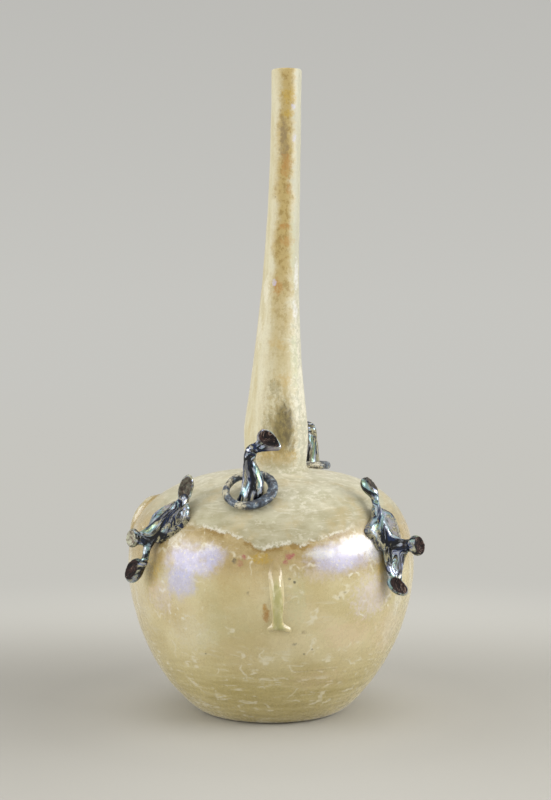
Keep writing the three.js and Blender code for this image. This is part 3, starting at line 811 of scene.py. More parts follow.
def body_glass():
    n = Nodes("body_glass")
    grain = n.noise(0.8, 6, 0.68)
    soft = n.maths("MULTIPLY_ADD", n.noise(3.5, 7, 0.68, shift=(6.0, 2.0, 2.0)), 2.0, -1.0)
    fine = n.maths("MULTIPLY_ADD", n.noise(1.5, 6, 0.70), 3.2, -1.6)
    above = n.maths("ADD", n.attribute("above"), fine)
    sharp = n.attribute("sharp")
    blur = n.maths("MULTIPLY_ADD", sharp, -4.4, 5.0)
    crust = n.step(above, n.maths("MULTIPLY", blur, -1.0), blur)
    frill = n.step(n.noise(2.2, 6, 0.68, shift=(2.0, 2.0, 2.0)), 0.46, 0.54)
    edge = times(n, sharp, n.step(above, -0.5, 0.0), n.step(above, 1.5, 0.4), frill)
    # painted shadow: a dark amber line just below the crust's lifted edge
    under = times(n, sharp, n.step(above, -2.2, -0.6), n.step(above, 0.1, -0.3))
    colour = n.mix(crust, wall_glass(n), crust_colour(n))
    sheen, metal = 0.0, 0.0
    # Each sheen spot paints a lilac, white or pearl highlight into the colour where a lamp's reflection falls, and
    # makes the glass a little metallic there
    for azimuth, up, wide, tall, gloss, tint in SHEEN_SPOTS:
        mask = times(n, n.spot(wall_place(azimuth, up), wide, tall, soft, 0.55), inverse(n, crust))
        colour = layered(n, colour, (tint, 0.75, mask))
        sheen = n.maths("MAXIMUM", sheen, mask)
        metal = n.maths("MAXIMUM", metal, times(n, mask, gloss))
    speckle = times(n, n.step(n.noise(0.9, 5, 0.7, shift=(6.0, 3.0, 9.0)), 0.50, 0.58), n.step(n.x, 8.0, 20.0))
    granular = times(n, n.step(n.noise(1.5, 5, 0.7, shift=(1.0, 3.0, 2.0)), 0.46, 0.52), n.step(n.z, 60.0, 64.0),
                     n.step(n.x, -4.0, -16.0))
    # Cream granules and lilac speckles inside the sheen spots break up the painted highlights
    colour = layered(
        n, colour,
        ((0.95, 0.88, 0.66), 0.8, sheen, n.step(n.noise(1.1, 5, 0.7), 0.56, 0.62)),
        ((0.97, 0.93, 0.76), 0.8, sheen, granular),
        ((0.70, 0.67, 0.88), 0.5, sheen, speckle),
        # painted shadow below the crust's edge
        ((0.34, 0.21, 0.045), 0.80, under, n.step(n.noise(5.0, 3, shift=(7.0, 7.0, 2.0)), 0.40, 0.50)),
        ((0.94, 0.91, 0.78), 0.60, edge),
    )
    neck = n.step(n.z, 83.0, 90.0)
    colour = n.mix(neck, colour, neck_colour(n))
    bare = inverse(n, n.maths("MAXIMUM", crust, neck))
    patchy = n.maths("MULTIPLY_ADD", n.step(n.noise(2.4, 6, 0.7, shift=(4.0, 4.0, 2.0)), 0.42, 0.60), 0.16, 0.22)
    rough = n.maths("ADD", patchy, n.maths("ADD", times(n, crust, 0.26), times(n, neck, 0.14)))
    waxy = n.noise(4.0, 2, 0.5, shift=(5.0, 5.0, 5.0))
    relief = n.maths("ADD", times(n, grain, inverse(n, bare)), times(n, waxy, bare, 0.5))
    relief = n.maths("ADD", relief, crust)
    lost = n.maths("MULTIPLY_ADD", bare, 0.115, 0.097)
    colour = n.mix(lost, colour, (0.0, 0.0, 0.0))  # light that the glass swallows
    n.set(Base_Color=colour, Roughness=rough, Normal=n.bump(relief, 0.20, 0.40))
    n.shader.inputs["Transmission Weight"].default_value = 0.06
    n.set(Metallic=metal)
    n.set(Coat_Weight=n.maths("MULTIPLY_ADD", sheen, -0.32, 0.36))
    n.shader.inputs["IOR"].default_value = 1.5
    n.shader.inputs["Coat Roughness"].default_value = 0.22
    n.shader.inputs["Sheen Weight"].default_value = 0.28
    n.shader.inputs["Sheen Roughness"].default_value = 0.4
    n.shader.inputs["Sheen Tint"].default_value = (1.0, 0.93, 0.76, 1.0)
    return n.material


def clear_glass(name, dark, light):
    """The ribs: glass of the wall, cleaner, glossier and deeper coloured along the crest."""
    n = Nodes(name)
    proud = n.attribute("proud")
    crest = n.mix(n.step(n.noise(2.2, 4, 0.6), 0.40, 0.62), dark, light)
    colour = layered(n, wall_glass(n), (crest, 0.75, n.step(proud, 0.55, 1.15)))
    n.set(Base_Color=colour, Normal=n.bump(n.noise(1.2, 5), 0.10, 0.3))
    n.set(Roughness=n.maths("MULTIPLY_ADD", n.step(proud, 0.1, 0.6), -0.20, 0.32))
    n.shader.inputs["Transmission Weight"].default_value = 0.3
    n.shader.inputs["IOR"].default_value = 1.5
    n.shader.inputs["Coat Weight"].default_value = 1.0
    n.shader.inputs["Coat Roughness"].default_value = 0.05
    return n.material


def blue_glass(name, worn, highlight_places=(), shade_places=()):
    """Near-black cobalt with silvery streaks along the drawn glass and straw-coloured wear, and painted highlights and
    shade at given places.
    """
    n = Nodes(name)
    ragged = n.maths("MULTIPLY_ADD", n.noise(1.4, 6, 0.68), 2.0, -1.0)
    # The first given places are painted highlights, silver streaks where the lamps' reflections fall; the second are
    # painted shade, where the silver is kept off
    silver_and_highlight, painted_shade = 0.0, 0.0
    for place, wide, tall in highlight_places:
        silver_and_highlight = n.maths("MAXIMUM", silver_and_highlight, n.spot(place, wide, tall, ragged))
    for place, wide, tall in shade_places:
        painted_shade = n.maths("MAXIMUM", painted_shade, n.spot(place, wide, tall, ragged))
    flow = n.node("ShaderNodeAttribute", attribute_name="flow").outputs["Vector"]
    n.place = n.vector("SCALE", flow, scale=1.0)
    face, rim, thin, pale, proud = map(n.attribute, ("face", "rim", "thin", "pale", "proud"))
    low = n.step(proud, 2.6, 1.1)
    tint = n.noise(2.6, 3, shift=(6.0, 6.0, 1.0))
    silver = n.ramp(tint, [(0.34, (0.36, 0.46, 0.28)), (0.43, (0.36, 0.60, 0.70)), (0.50, (0.76, 0.81, 0.90)),
                           (0.57, (0.38, 0.45, 0.78)), (0.66, (0.66, 0.65, 0.48))])
    streak = n.step(n.noise(2.2, 5, 0.55, shift=(4.0, 1.0, 8.0)), 0.49, 0.57)
    streak = times(n, streak, n.maths("MULTIPLY_ADD", low, -0.8, 1.0))
    band = n.step(n.noise(1.5, 4, 0.5, shift=(8.0, 8.0, 1.0)), 0.42, 0.52)
    streak = times(n, n.maths("MAXIMUM", streak, times(n, silver_and_highlight, band)), inverse(n, painted_shade))
    calm = inverse(n, n.maths("MAXIMUM", silver_and_highlight, painted_shade))
    wear = n.maths("MULTIPLY_ADD", low, 0.06, n.noise(1.8, 7, 0.72, shift=(3.0, 5.0, 5.0)))
    straw = times(n, n.step(wear, 0.55 - worn * 0.12, 0.59 - worn * 0.10), inverse(n, silver_and_highlight))
    pits = n.step(n.noise(0.6, 5, 0.7, shift=(9.0, 5.0, 1.0)), 0.48, 0.56)
    blue = n.step(n.noise(2.4, 4, 0.6), 0.46, 0.66)
    veil = n.step(n.noise(2.4, 5, 0.6, shift=(1.0, 9.0, 2.0)), 0.40, 0.60)
    worn_rim = n.step(n.noise(2.4, 6, 0.7, shift=(2.0, 7.0, 7.0)), 0.47, 0.55)
    colour = layered(
        n, (0.002, 0.003, 0.006),
        ((0.006, 0.020, 0.075), 0.9, blue),
        ((0.36, 0.33, 0.35), 0.75, thin, thin, veil, calm),
        (silver, 0.85, streak),
        ((0.46, 0.42, 0.25), 0.80, straw),
        ((0.03, 0.028, 0.025), 0.80, straw, pits),
        ((0.52, 0.52, 0.38), 0.85, rim, worn_rim, inverse(n, pale)),
    )
    inner = n.mix(n.step(n.noise(1.1, 5, 0.65), 0.42, 0.62), (0.003, 0.002, 0.003), (0.034, 0.015, 0.012))
    inner = layered(n, inner, ((0.34, 0.24, 0.19), 0.7, n.step(n.noise(0.9, 6, 0.72, shift=(2.0, 3.0, 1.0)), 0.57, 0.63)))
    cup = n.mix(n.step(n.noise(1.3, 5, 0.7, shift=(1.0, 1.0, 7.0)), 0.40, 0.60), (0.17, 0.13, 0.10), (0.50, 0.50, 0.38))
    colour = n.mix(face, colour, n.mix(pale, inner, cup))
    bright = n.maths("MAXIMUM", streak, times(n, rim, worn_rim))
    dull = n.maths("MAXIMUM", face, straw)
    n.set(Base_Color=colour, Normal=n.bump(n.noise(0.9, 5, 0.60), 0.10, 0.45))
    n.set(Metallic=times(n, bright, inverse(n, dull), 0.7))
    rough = n.maths("MULTIPLY_ADD", dull, 0.50, n.maths("MULTIPLY_ADD", bright, 0.14, 0.09))
    n.set(Roughness=n.maths("MULTIPLY_ADD", face, 0.38, rough))
    return n.material


def worn_blue_glass():
    """The rings: slate blue with cream weathering left in patches."""
    n = Nodes("worn_blue_glass")
    ragged = n.maths("MULTIPLY_ADD", n.noise(1.2, 6, 0.70, shift=(6.0, 2.0, 2.0)), 3.0, -1.5)
    slate = n.noise(1.6, 5, 0.62, shift=(1.0, 1.0, 4.0))
    colour = n.mix(n.step(slate, 0.36, 0.64), (0.018, 0.026, 0.042), (0.10, 0.135, 0.18))
    patches = n.step(n.noise(2.4, 6, 0.7, shift=(7.0, 0.0, 3.0)), 0.58, 0.64)
    colour = layered(n, colour, ((0.50, 0.46, 0.34), 0.8, patches), ((0.34, 0.42, 0.48), 0.6, n.step(slate, 0.57, 0.63)))
    for place, wide, tall in RING_WEAR:
        colour = layered(n, colour, ((0.56, 0.51, 0.36), 0.85, n.spot(place, wide, tall, ragged)))
    dark = n.step(n.noise(1.1, 5, 0.66, shift=(1.0, 6.0, 3.0)), 0.50, 0.56)
    colour = layered(n, colour, ((0.025, 0.022, 0.025), 0.8, dark))
    n.set(Base_Color=colour, Roughness=n.maths("MULTIPLY_ADD", patches, 0.25, 0.34))
    n.set(Normal=n.bump(n.noise(0.7, 6, 0.7), 0.14, 0.6))
    n.shader.inputs["Coat Weight"].default_value = 0.3
    n.shader.inputs["Coat Roughness"].default_value = 0.15
    return n.material


# Cream weathering on the rings: place, half width and height
RING_WEAR = [
    ((-9.4, -40.4, 75.4), 2.0, 1.6), ((-15.0, -35.0, 78.5), 1.5, 3.6), ((-14.2, -31.0, 82.5), 2.0, 2.4), ((-10.5, -27.5, 84.5), 2.2, 2.0),
    ((14.5, 26.0, 81.5), 4.5, 2.5), ((6.0, 38.0, 81.5), 2.5, 2.0),
]

MATERIALS = {
    "body_glass": body_glass(),
    "clear_glass": clear_glass("clear_glass", (0.44, 0.43, 0.13), (0.66, 0.62, 0.32)),
    "blue_glass": blue_glass("blue_glass", 0.0),
    "worn_blue_glass": worn_blue_glass(),
}
BACK_HANDLE_GLASS = blue_glass("weathered_blue_glass", 0.6)
LEFT_RIB_GLASS = clear_glass("amber_rib_glass", (0.66, 0.56, 0.32), (0.86, 0.81, 0.62))
# The figures' given places paint highlights and shade on their glass
LEFT_FIGURE_GLASS = blue_glass(
    "left_figure_glass", 0.1,
    highlight_places=[(on_wall(-50, (-6.0, 23.0, 1.0)), 3.2, 4.2), (on_wall(-50, (-2.0, 16.5, 5.0)), 2.2, 1.6)],
    shade_places=[(on_wall(-50, (7.0, 20.5, 1.0)), 3.2, 4.6), (on_wall(-50, (2.6, 16.6, 1.0)), 3.4, 2.4),
                 (on_wall(-50, (-2.2, 4.4, 4.0)), 2.6, 3.4)],
)
RIGHT_FIGURE_GLASS = blue_glass(
    "right_figure_glass", 0.0,
    highlight_places=[(on_wall(51.5, (-0.6, 26.5, 4.4)), 1.6, 3.2), (on_wall(51.5, (-0.6, 20.0, 3.6)), 2.0, 4.2),
                   (on_wall(51.5, (-5.4, 19.4, 0.8)), 1.6, 1.6)],
    shade_places=[(on_wall(51.5, (-3.6, 14.4, 1.2)), 1.8, 2.2)],
)


def settle(obj, node, body, slot, material=None):
    obj.data.materials.clear()
    obj.data.materials.append(material or MATERIALS[slot])
    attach(obj, body)
    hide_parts(node)


# The pieces


# Where the crust on the shoulder ends: azimuth and height, ragged at the front
CRUST_BORDER = [(-180, 65), (-120, 69), (-60, 70), (-30, 68.5), (-22, 67.5), (-11, 65.4), (-5, 62.6),
                (1, 63.2), (15, 64.1), (24, 65.6), (34, 68), (60, 70), (120, 68), (180, 65)]
CRUST_THICKNESS = 0.24
TURNS = np.linspace(0, 2 * math.pi, 320, endpoint=False)


def crust_border(turns, heights):
    """Millimetres above the crust's border, and how sharply the crust ends there."""
    azimuth = np.degrees((turns + math.pi) % (2 * math.pi) - math.pi)
    place = BODY_RADIUS * np.sin(turns), -BODY_RADIUS * np.cos(turns), heights
    ragged = 1.3 * noise_at(*place, 4.5) + 0.55 * noise_at(*place, 1.6)
    sharp = 1 - smoothstep(np.abs(azimuth), 26, 44) * (1 - 0.7 * smoothstep(np.abs(azimuth), 130, 165))
    above = heights - np.interp(azimuth, *zip(*CRUST_BORDER)) - ragged
    return above, np.broadcast_to(sharp, above.shape)


def vessel_profile():
    """Radius and height from the underside up the outside, over the lip and down to the floor
    inside, and 1 where a point lies on the outside."""
    reach = FOOT_RADIUS - FOOT_RING_WIDTH
    under = [(reach * s, kick(reach * s, reach)) for s in np.linspace(0, 1, 10)]
    foot = [(FOOT_RADIUS - 1.5, 0.0), (FOOT_RADIUS, 0.0), (FOOT_RADIUS + 1.5, 0.12), (FOOT_RADIUS + 3, 0.5)]
    outside = underside_line(52) + shoulder_line(84)[1:] + fillet_line(9)[1:] + neck_line(64)[1:]
    middle, half = MOUTH_RADIUS + 0.05 - NECK_WALL / 2, NECK_WALL / 2
    lip = [(middle + math.cos(turn) * half, HEIGHT - half + math.sin(turn) * half)
           for turn in np.linspace(0.12, 0.88, 7) * math.pi]
    coarse = underside_line(16) + shoulder_line(18)[1:] + fillet_line(4)[1:] + neck_line(20)[1:]
    bore = moved_sideways(coarse, lambda h: -(NECK_WALL if h > SHOULDER_TOP else WALL))[::-1]
    bore = [p for p in bore if p[1] > BASE_THICKNESS + WALL]
    floor_reach = FOOT_RADIUS + 1.0
    floor = [(floor_reach * (1 - s), BASE_THICKNESS + kick(floor_reach * (1 - s), floor_reach))
             for s in np.linspace(0, 1, 7)]
    profile = under + foot + outside + lip + bore + floor
    is_outside = [0] * len(under + foot) + [1] * len(outside) + [0] * len(lip + bore + floor)
    return profile, np.array(is_outside[1:-1])[:, None]


def vessel():
    profile, outside = vessel_profile()
    radii, heights = np.array(profile[1:-1]).T[:, :, None]
    above, sharp = crust_border(TURNS, heights)
    place = radii * np.sin(TURNS), -radii * np.cos(TURNS), heights
    size = np.where(heights < SHOULDER_TOP, 0.5, 0.22)
    uneven = size * (noise_at(*place, 28.0) - 0.55) + 0.1 * noise_at(*place, 6.0)
    fade = smoothstep(heights, 1.2, 9.0) * (1 - smoothstep(heights, HEIGHT - 8, HEIGHT - 0.8))
    crust = CRUST_THICKNESS * sharp * smoothstep(above, -0.3, 0.5) * (1 - smoothstep(above, 2, 9))
    obj = to_metres(revolved("blown_vessel", profile, TURNS, outside * (fade * uneven + crust)))
    for label, values in (("above", above), ("sharp", sharp)):
        ends = (values[0, 0], values[-1, 0])
        obj.data.attributes.new(label, "FLOAT", "POINT").data.foreach_set("value", np.append(values, ends))
    return obj


def handle(name, azimuth, taller=0.0, girth=1.0):
    place = wall_frame(azimuth, SHOULDER_LENGTH - HANDLE_FROM_NECK)

    def at(right, out, up):
        return place["point"] + place["right"] * right + place["out"] * out + Vector((0, 0, up))

    def raised(points):
        """Places of a stem, drawn out a little in its upper half."""
        return [at(right, out, up + taller * min(max(up - 4, 0) / 10, 1)) for right, out, up in points]

    stem = [(-0.6, -0.2, -2.0), (0.1, -0.2, 1.3), (0.6, -0.2, 4.3), (0.4, 0, 6.6), (-0.1, 0, 8.4), (-0.6, 0, 10.2),
            (-0.8, 0, 11.8), (-0.7, 0, 13.4), (-0.1, 0.1, 15.1), (1.2, 0.2, 15.9), (3.3, 0.3, 15.9), (6.0, 0.4, 15.9),
            (8.8, 0.5, 15.9)]
    radii = [3.9, 3.8, 3.3, 2.9, 2.5, 2.2, 2.0, 2.0, 1.95, 1.7, 1.2, 0.9, 0.7]
    heel = [(2.6, 1.2, -0.4), (2.9, 1.4, 2.2), (2.1, 1.2, 5.6), (0.7, 0.6, 9.0)]
    keel = [(-3.4, 1.0, -1.0), (-2.2, 1.7, 2.4), (-1.8, 1.1, 6.4), (-1.6, 0.6, 10.0)]
    edge = [(1.4, 0.2, 16.3), (2.4, 0.2, 18.2), (3.5, 0.3, 20.9)]
    strands = [
        smooth_line(raised(stem), [r * girth for r in radii]),
        smooth_line(raised(heel), [1.1, 1.1, 1.1, 1.1]),
        smooth_line(raised(keel), [1.0, 1.1, 1.1, 1.1]),
        smooth_line([at(*p) for p in edge], [1.0, 0.85, 0.75]),
    ]
    along = place["right"] * 0.84 - Vector((0, 0, 0.54))
    face = place["out"] + Vector((0, 0, 0.45))
    head = Pad(at(6.0, 0.5, 18.7), along, face, (4.5, 1.2, 2.5), taper=0.45)
    return fused(name, strands, 0.8, [head], foot=1.8)


def loose_ring(name, centre, azimuth, tilt, girth):
    """A bent ribbon of glass, broad on its right and narrow on its left, three strands across."""
    turn, low = math.radians(azimuth), math.radians(tilt)
    right = Vector((math.cos(turn), math.sin(turn), 0))
    outer = Vector((math.sin(turn), -math.cos(turn), 0)) * math.cos(low) - Vector((0, 0, math.sin(low)))
    strands = []
    for side in (-1, 0, 1):
        strand = []
        for angle in np.linspace(0, 2 * math.pi, 49):
            broad = max(1.40 + 0.36 * math.sin(angle) + 0.10 * math.sin(2 * angle + 0.6), girth)
            thick = girth + 0.10 * math.sin(angle) + 0.05 * math.sin(5 * angle)
            way = outer * math.cos(angle) + right * math.sin(angle)
            reach = RING_RADIUS - 0.45 * math.sin(angle) + side * (broad - thick) * 1.1
            strand.append((Vector(centre) + way * reach, thick))
        strands.append(strand)
    return fused(name, strands, 0.5, voxel=0.25, grain=0.12, rounds=2)


def on_figure(azimuth, stations):
    return [on_wall(azimuth, s) for s in stations]


# Strands are (right, up, proud) places on the wall with radii, webs are two lines of such
# places, and pads are a place with the ways they are long and face, in the model's axes.
RIGHT_FIGURE = {
    "azimuth": 51.5,
    "strands": [
        ([(0.6, 32.0, 4.6), (0.3, 29.2, 4.0), (-0.4, 27.6, 3.6), (-1.1, 25.6, 3.1), (-1.5, 22.7, 2.6),
          (-1.7, 18.8, 2.4), (-0.3, 15.2, 2.5), (0.4, 13.4, 2.8)], [1.9, 1.5, 1.25, 1.15, 1.35, 1.5, 1.7, 1.8]),
        ([(0.0, 14.0, 2.6), (0.8, 13.0, 4.4), (1.5, 12.5, 6.4), (1.9, 12.2, 9.0)], [2.6, 2.3, 2.0, 2.2]),
        ([(1.6, 11.4, 6.0), (1.5, 9.2, 4.4), (1.1, 6.4, 3.4), (0.3, 3.6, 3.4)], [1.1, 1.1, 1.1, 1.2]),
        ([(-1.8, 17.0, 2.0), (-2.4, 13.4, 2.0), (-3.1, 9.6, 2.0), (-3.3, 6.4, 2.4), (-2.6, 3.4, 3.2)],
         [1.2, 1.3, 1.1, 1.0, 1.3]),
        ([(0.2, 14.2, 2.4), (0.6, 10.8, 2.2), (0.9, 7.8, 2.1), (0.5, 5.0, 2.5), (-0.4, 2.6, 3.2)],
         [1.5, 1.2, 0.95, 0.95, 1.3]),
        ([(-1.1, 12.6, 1.6), (-1.2, 8.6, 1.4), (-1.2, 4.6, 2.2)], [1.3, 1.1, 1.1]),
    ],
    "webs": [
        ([(-1.0, 25.4, 2.6), (-1.7, 21.0, 2.2), (-1.6, 15.0, 1.9)],
         [(-1.9, 25.0, 2.4), (-3.0, 22.2, 1.3), (-6.9, 19.2, 0.4), (-5.2, 17.0, 0.4), (-4.0, 13.4, 0.7)], 1.0, 12, 0.5),
        ([(0.0, 26.2, 2.8), (-0.4, 20.0, 2.4), (0.4, 14.6, 2.4)],
         [(1.6, 24.6, 2.3), (6.8, 22.9, 1.5), (9.9, 19.6, 0.5), (8.6, 14.9, 0.4), (4.0, 13.6, 1.2)], 0.6, 13, 0.6),
        ([(-1.1, 12.4, 2.0), (-1.2, 8.6, 1.8), (-1.0, 5.0, 2.4)],
         [(1.4, 11.8, 5.4), (1.3, 8.8, 4.0), (0.4, 5.0, 3.2)], 0.9, 8, 0.3),
    ],
    "pads": [
        ((0.3, 32.5, 5.0), (0.62, -0.1, -0.78), (0.90, -0.24, 0.50), (3.4, 2.5, 2.9), 0.1),
        ((-1.0, 0.7, 3.9), (0.8, 0.1, -0.6), (0.35, -0.85, 0.45), (4.2, 1.8, 2.5), 0.0),
        ((1.6, 12.0, 10.6), (0.40, 0.2, -0.90), (0.74, -0.66, 0.14), (3.5, 2.4, 3.0), 0.0),
    ],
}
LEFT_FIGURE = {
    "azimuth": -50,
    "strands": [
        ([(4.4, 29.6, 3.8), (5.4, 27.8, 3.7), (5.0, 26.0, 3.5), (3.0, 23.3, 3.1), (1.0, 20.0, 3.0),
          (-1.2, 17.0, 3.6), (-2.4, 15.0, 4.7), (-3.3, 14.4, 6.4)], [1.6, 1.8, 1.9, 1.9, 2.0, 2.2, 2.3, 2.1]),
        ([(0.8, 18.8, 2.6), (-0.8, 15.2, 2.6), (-1.7, 12.2, 2.9), (-1.6, 9.8, 3.0), (-2.0, 7.6, 3.4),
          (-3.2, 6.2, 4.2)], [1.7, 1.6, 1.3, 1.15, 1.3, 1.5]),
        ([(4.4, 25.0, 2.8), (5.0, 22.0, 1.8), (3.6, 19.2, 1.6), (0.6, 16.6, 1.8)], [1.1, 1.2, 1.3, 1.3]),
    ],
    "webs": [
        ([(4.8, 27.6, 3.0), (2.6, 22.6, 2.4), (-0.8, 17.6, 2.6)],
         [(2.2, 28.2, 2.8), (-4.4, 26.4, 1.2), (-8.2, 23.4, 0.5), (-7.6, 20.6, 0.6), (-4.2, 17.6, 2.2)], 0.65, 14, 0.5),
        ([(5.6, 26.6, 3.0), (3.4, 22.4, 2.2), (0.6, 18.0, 2.2)],
         [(7.2, 26.8, 2.5), (8.0, 25.0, 1.6), (8.4, 23.0, 0.5), (6.7, 20.0, 0.5), (3.9, 17.6, 0.6), (1.0, 15.4, 1.0)],
         1.0, 11, 0.4),
    ],
    "pads": [
        ((3.0, 31.8, 4.9), (0.24, 0.1, 0.96), (-0.15, -0.9, 0.35), (5.0, 1.6, 2.5), 0.25),
        ((-4.3, 5.2, 5.0), (0.42, 0.05, 0.9), (-0.72, -0.66, 0.25), (4.3, 2.8, 3.1), 0.0),
        ((-3.1, 14.2, 8.1), (0.12, 0.05, 1.0), (-0.65, -0.75, 0.1), (3.1, 2.0, 2.5), 1.0),
    ],
}


def figure(name, azimuth, strands, webs, pads):
    lines = [smooth_line(on_figure(azimuth, stations), radii) for stations, radii in strands]
    for root, edge, thickness, count, sag in webs:
        lines += drawn_web(on_figure(azimuth, root), on_figure(azimuth, edge), thickness, count, sag)
    shaped = [Pad(on_wall(azimuth, at), *rest) for at, *rest in pads]
    return fused(name, lines, 0.8, shaped, foot=1.5)


def front_rib():
    """A pinched fold: one rounded ridge, broad at its top, with a flared foot."""
    azimuth = 2.7
    strands = [
        ([(-0.9, 11.2, -3.3), (-0.9, 9.4, -2.5), (-0.7, 6.0, -1.8), (-0.4, 2.0, -0.9), (-0.2, -2.0, 0.05),
          (-0.1, -5.5, 0.3), (0.0, -9.4, 0.1)], [2.6, 2.6, 2.5, 2.2, 1.85, 1.65, 1.5]),
        ([(-2.8, -11.0, -0.7), (-1.3, -10.2, -0.2), (0.2, -9.8, 0.1), (1.8, -10.4, 0.0), (3.3, -11.3, -0.3)],
         [0.8, 1.0, 1.2, 1.0, 0.9]),
    ]
    lines = [smooth_line(on_figure(azimuth, stations), radii) for stations, radii in strands]
    return fused("pinched_front_rib", lines, 0.8, foot=1.2, reach=1.6, grain=0.02)


def left_rib():
    azimuth = -94
    strands = [
        ([(0, 28.0, -1.2), (0, 25.4, 0.1), (0, 20.0, 0.1), (0, 14.8, -0.5), (0, 10.8, -1.6)],
         [1.5, 1.8, 1.9, 1.8, 1.5]),
        ([(-2.4, 10.8, -0.8), (0, 11.8, -0.4), (2.4, 10.8, -0.8)], [0.9, 1.3, 0.9]),
    ]
    lines = [smooth_line(on_figure(azimuth, stations), radii) for stations, radii in strands]
    return fused("pinched_left_rib", lines, 0.8, foot=2.6, reach=2.6, grain=0.04)


settle(vessel(), "vessel_wall", "vessel", "body_glass")
settle(handle("trailed_front_handle", FRONT_AZIMUTH), "front_handle", "vessel", "blue_glass")
settle(handle("trailed_back_handle", BACK_AZIMUTH, taller=2.6, girth=0.8), "back_handle", "vessel", "blue_glass",
       BACK_HANDLE_GLASS)
settle(loose_ring("drawn_front_ring", **FRONT_RING), "front_ring", "loose_front_ring", "worn_blue_glass")
settle(loose_ring("drawn_back_ring", **BACK_RING), "back_ring", "loose_back_ring", "worn_blue_glass")
settle(figure("tooled_right_figure", **RIGHT_FIGURE), "right_figure", "vessel", "blue_glass", RIGHT_FIGURE_GLASS)
settle(figure("tooled_left_figure", **LEFT_FIGURE), "left_figure", "vessel", "blue_glass", LEFT_FIGURE_GLASS)
settle(front_rib(), "front_rib", "vessel", "clear_glass")
settle(left_rib(), "left_rib", "vessel", "clear_glass", LEFT_RIB_GLASS)


# Ground, light and camera

# Floor colours: the near one is painted shade, a darker band round the flask, and the close one painted light, a pale
# glow at the flask's foot as if through the glass
GLOW_CLOSE_GROUND = (0.60, 0.585, 0.545)
SHADED_NEAR_GROUND = (0.385, 0.372, 0.340)
FAR_GROUND = (0.565, 0.555, 0.515)
HORIZON = (0.565, 0.56, 0.53)
OVERHEAD = (0.50, 0.495, 0.47)
ROOM = (0.74, 0.735, 0.71)  # the light of the room, where it isn't seen as background


def seen_rays(tree):
    """1 for rays that see the background: straight, mirrored or through glass."""
    path = tree.nodes.new("ShaderNodeLightPath")
    first = tree.nodes.new("ShaderNodeMath")
    first.operation = "MAXIMUM"
    tree.links.new(path.outputs["Is Camera Ray"], first.inputs[0])
    tree.links.new(path.outputs["Is Glossy Ray"], first.inputs[1])
    second = tree.nodes.new("ShaderNodeMath")
    second.operation = "MAXIMUM"
    tree.links.new(first.outputs[0], second.inputs[0])
    tree.links.new(path.outputs["Is Transmission Ray"], second.inputs[1])
    return second.outputs[0]


def ground():
    n = Nodes("ground_paper")
    radius = n.vector("LENGTH", n.vector("MULTIPLY", n.place, (1.0, 1.0, 0.0)))
    grain = n.noise(1.5, 5)
    # The floor's colour paints light and shade: darker round the flask and to the left, lighter towards the front and
    # in a spot before the flask, and a pale painted glow close to its foot
    near = layered(
        n, SHADED_NEAR_GROUND,
        (FAR_GROUND, 0.18, n.step(n.x, -60.0, 110.0)),
        (FAR_GROUND, 0.35, n.step(n.y, -30.0, -130.0)),
        (FAR_GROUND, 1.0, n.step(n.y, 40.0, 230.0)),
        (GLOW_CLOSE_GROUND, 0.62, n.step(radius, 84.0, 26.0)),
        (FAR_GROUND, 0.26, n.spot((0.0, -80.0, 0.0), 52.0, 52.0, 0.0, 0.7)),
        ((0.4, 0.39, 0.36), 0.05, n.step(grain, 0.3, 0.7)),
    )
    n.set(Base_Color=near)
    n.shader.inputs["Roughness"].default_value = 0.9
    n.shader.inputs["Specular IOR Level"].default_value = 0.1
    glow = n.node("ShaderNodeEmission")
    far = n.mix(n.step(radius, 300.0, 2500.0), FAR_GROUND, HORIZON)
    n.link(far, glow.inputs["Color"])
    share = n.maths("MULTIPLY", seen_rays(n.tree), n.step(radius, 110.0, 300.0))
    blend = n.node("ShaderNodeMixShader")
    n.link(share, blend.inputs[0])
    n.link(n.shader.outputs[0], blend.inputs[1])
    n.link(glow.outputs[0], blend.inputs[2])
    n.link(blend.outputs[0], n.output.inputs["Surface"])
    bm = bmesh.new()
    bmesh.ops.create_circle(bm, cap_ends=True, radius=20.0, segments=64)
    mesh = bpy.data.meshes.new("ground")
    bm.to_mesh(mesh)
    bm.free()
    obj = bpy.data.objects.new("ground", mesh)
    obj.data.materials.append(n.material)
    bpy.context.scene.collection.objects.link(obj)


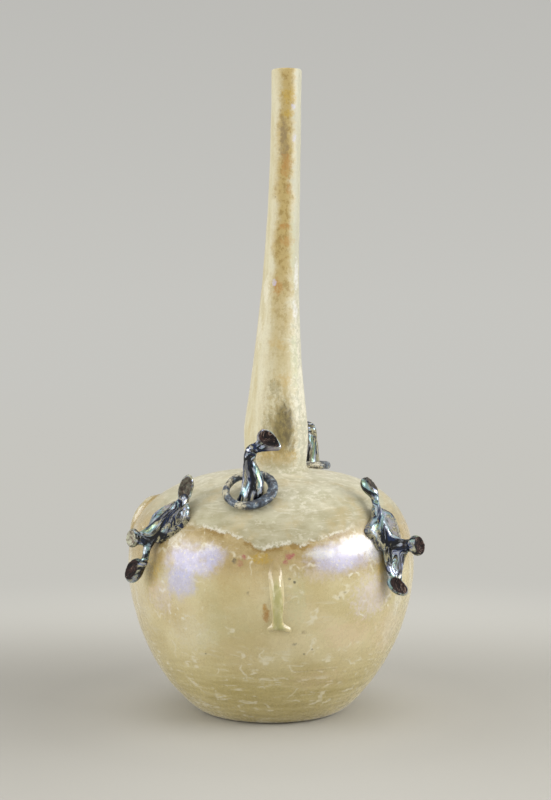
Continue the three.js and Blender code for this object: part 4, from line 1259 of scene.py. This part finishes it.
def world():
    made = bpy.data.worlds.new("studio")
    bpy.context.scene.world = made
    made.use_nodes = True
    tree = made.node_tree
    background = tree.nodes["Background"]
    coords = tree.nodes.new("ShaderNodeTexCoord")
    split = tree.nodes.new("ShaderNodeSeparateXYZ")
    tree.links.new(coords.outputs["Generated"], split.inputs[0])
    band = tree.nodes.new("ShaderNodeMapRange")
    band.inputs["From Min"].default_value = 0.0
    band.inputs["From Max"].default_value = 0.2
    tree.links.new(split.outputs["Z"], band.inputs["Value"])
    mix = tree.nodes.new("ShaderNodeMix")
    mix.data_type = "RGBA"
    tree.links.new(band.outputs["Result"], mix.inputs["Factor"])
    mix.inputs["A"].default_value = (*HORIZON, 1)
    mix.inputs["B"].default_value = (*OVERHEAD, 1)
    room = tree.nodes.new("ShaderNodeMix")
    room.data_type = "RGBA"
    tree.links.new(seen_rays(tree), room.inputs["Factor"])
    room.inputs["A"].default_value = (*ROOM, 1)
    tree.links.new(mix.outputs["Result"], room.inputs["B"])
    tree.links.new(room.outputs["Result"], background.inputs["Color"])


def lamp(name, at, size, watts, look_at=(0, 0, 0.07)):
    data = bpy.data.lights.new(name, "AREA")
    data.shape = "RECTANGLE"
    data.size, data.size_y = size
    data.energy = watts
    obj = bpy.data.objects.new(name, data)
    obj.location = at
    obj.rotation_euler = (Vector(look_at) - Vector(at)).to_track_quat("-Z", "Y").to_euler()
    bpy.context.scene.collection.objects.link(obj)


def camera():
    data = bpy.data.cameras.new("camera")
    data.sensor_fit = "HORIZONTAL"
    data.sensor_width = SENSOR
    data.lens = FOCAL_PIXELS * SENSOR / IMAGE_WIDTH
    data.clip_start = 0.01
    data.clip_end = 100
    obj = bpy.data.objects.new("camera", data)
    obj.location = CAMERA_AT
    obj.rotation_euler = (math.radians(90 - CAMERA_PITCH), 0, 0)
    bpy.context.scene.collection.objects.link(obj)
    bpy.context.scene.camera = obj


ground()
world()
lamp("left_softbox", (-0.93, -0.37, 0.27), (0.9, 0.75), 6.8)
lamp("right_softbox", (0.93, -0.28, 0.42), (0.9, 0.5), 7.6)
lamp("top_softbox", (0.0, 0.1, 1.1), (0.8, 0.8), 2.4)
camera()

bpy.context.scene.view_settings.view_transform = "Standard"
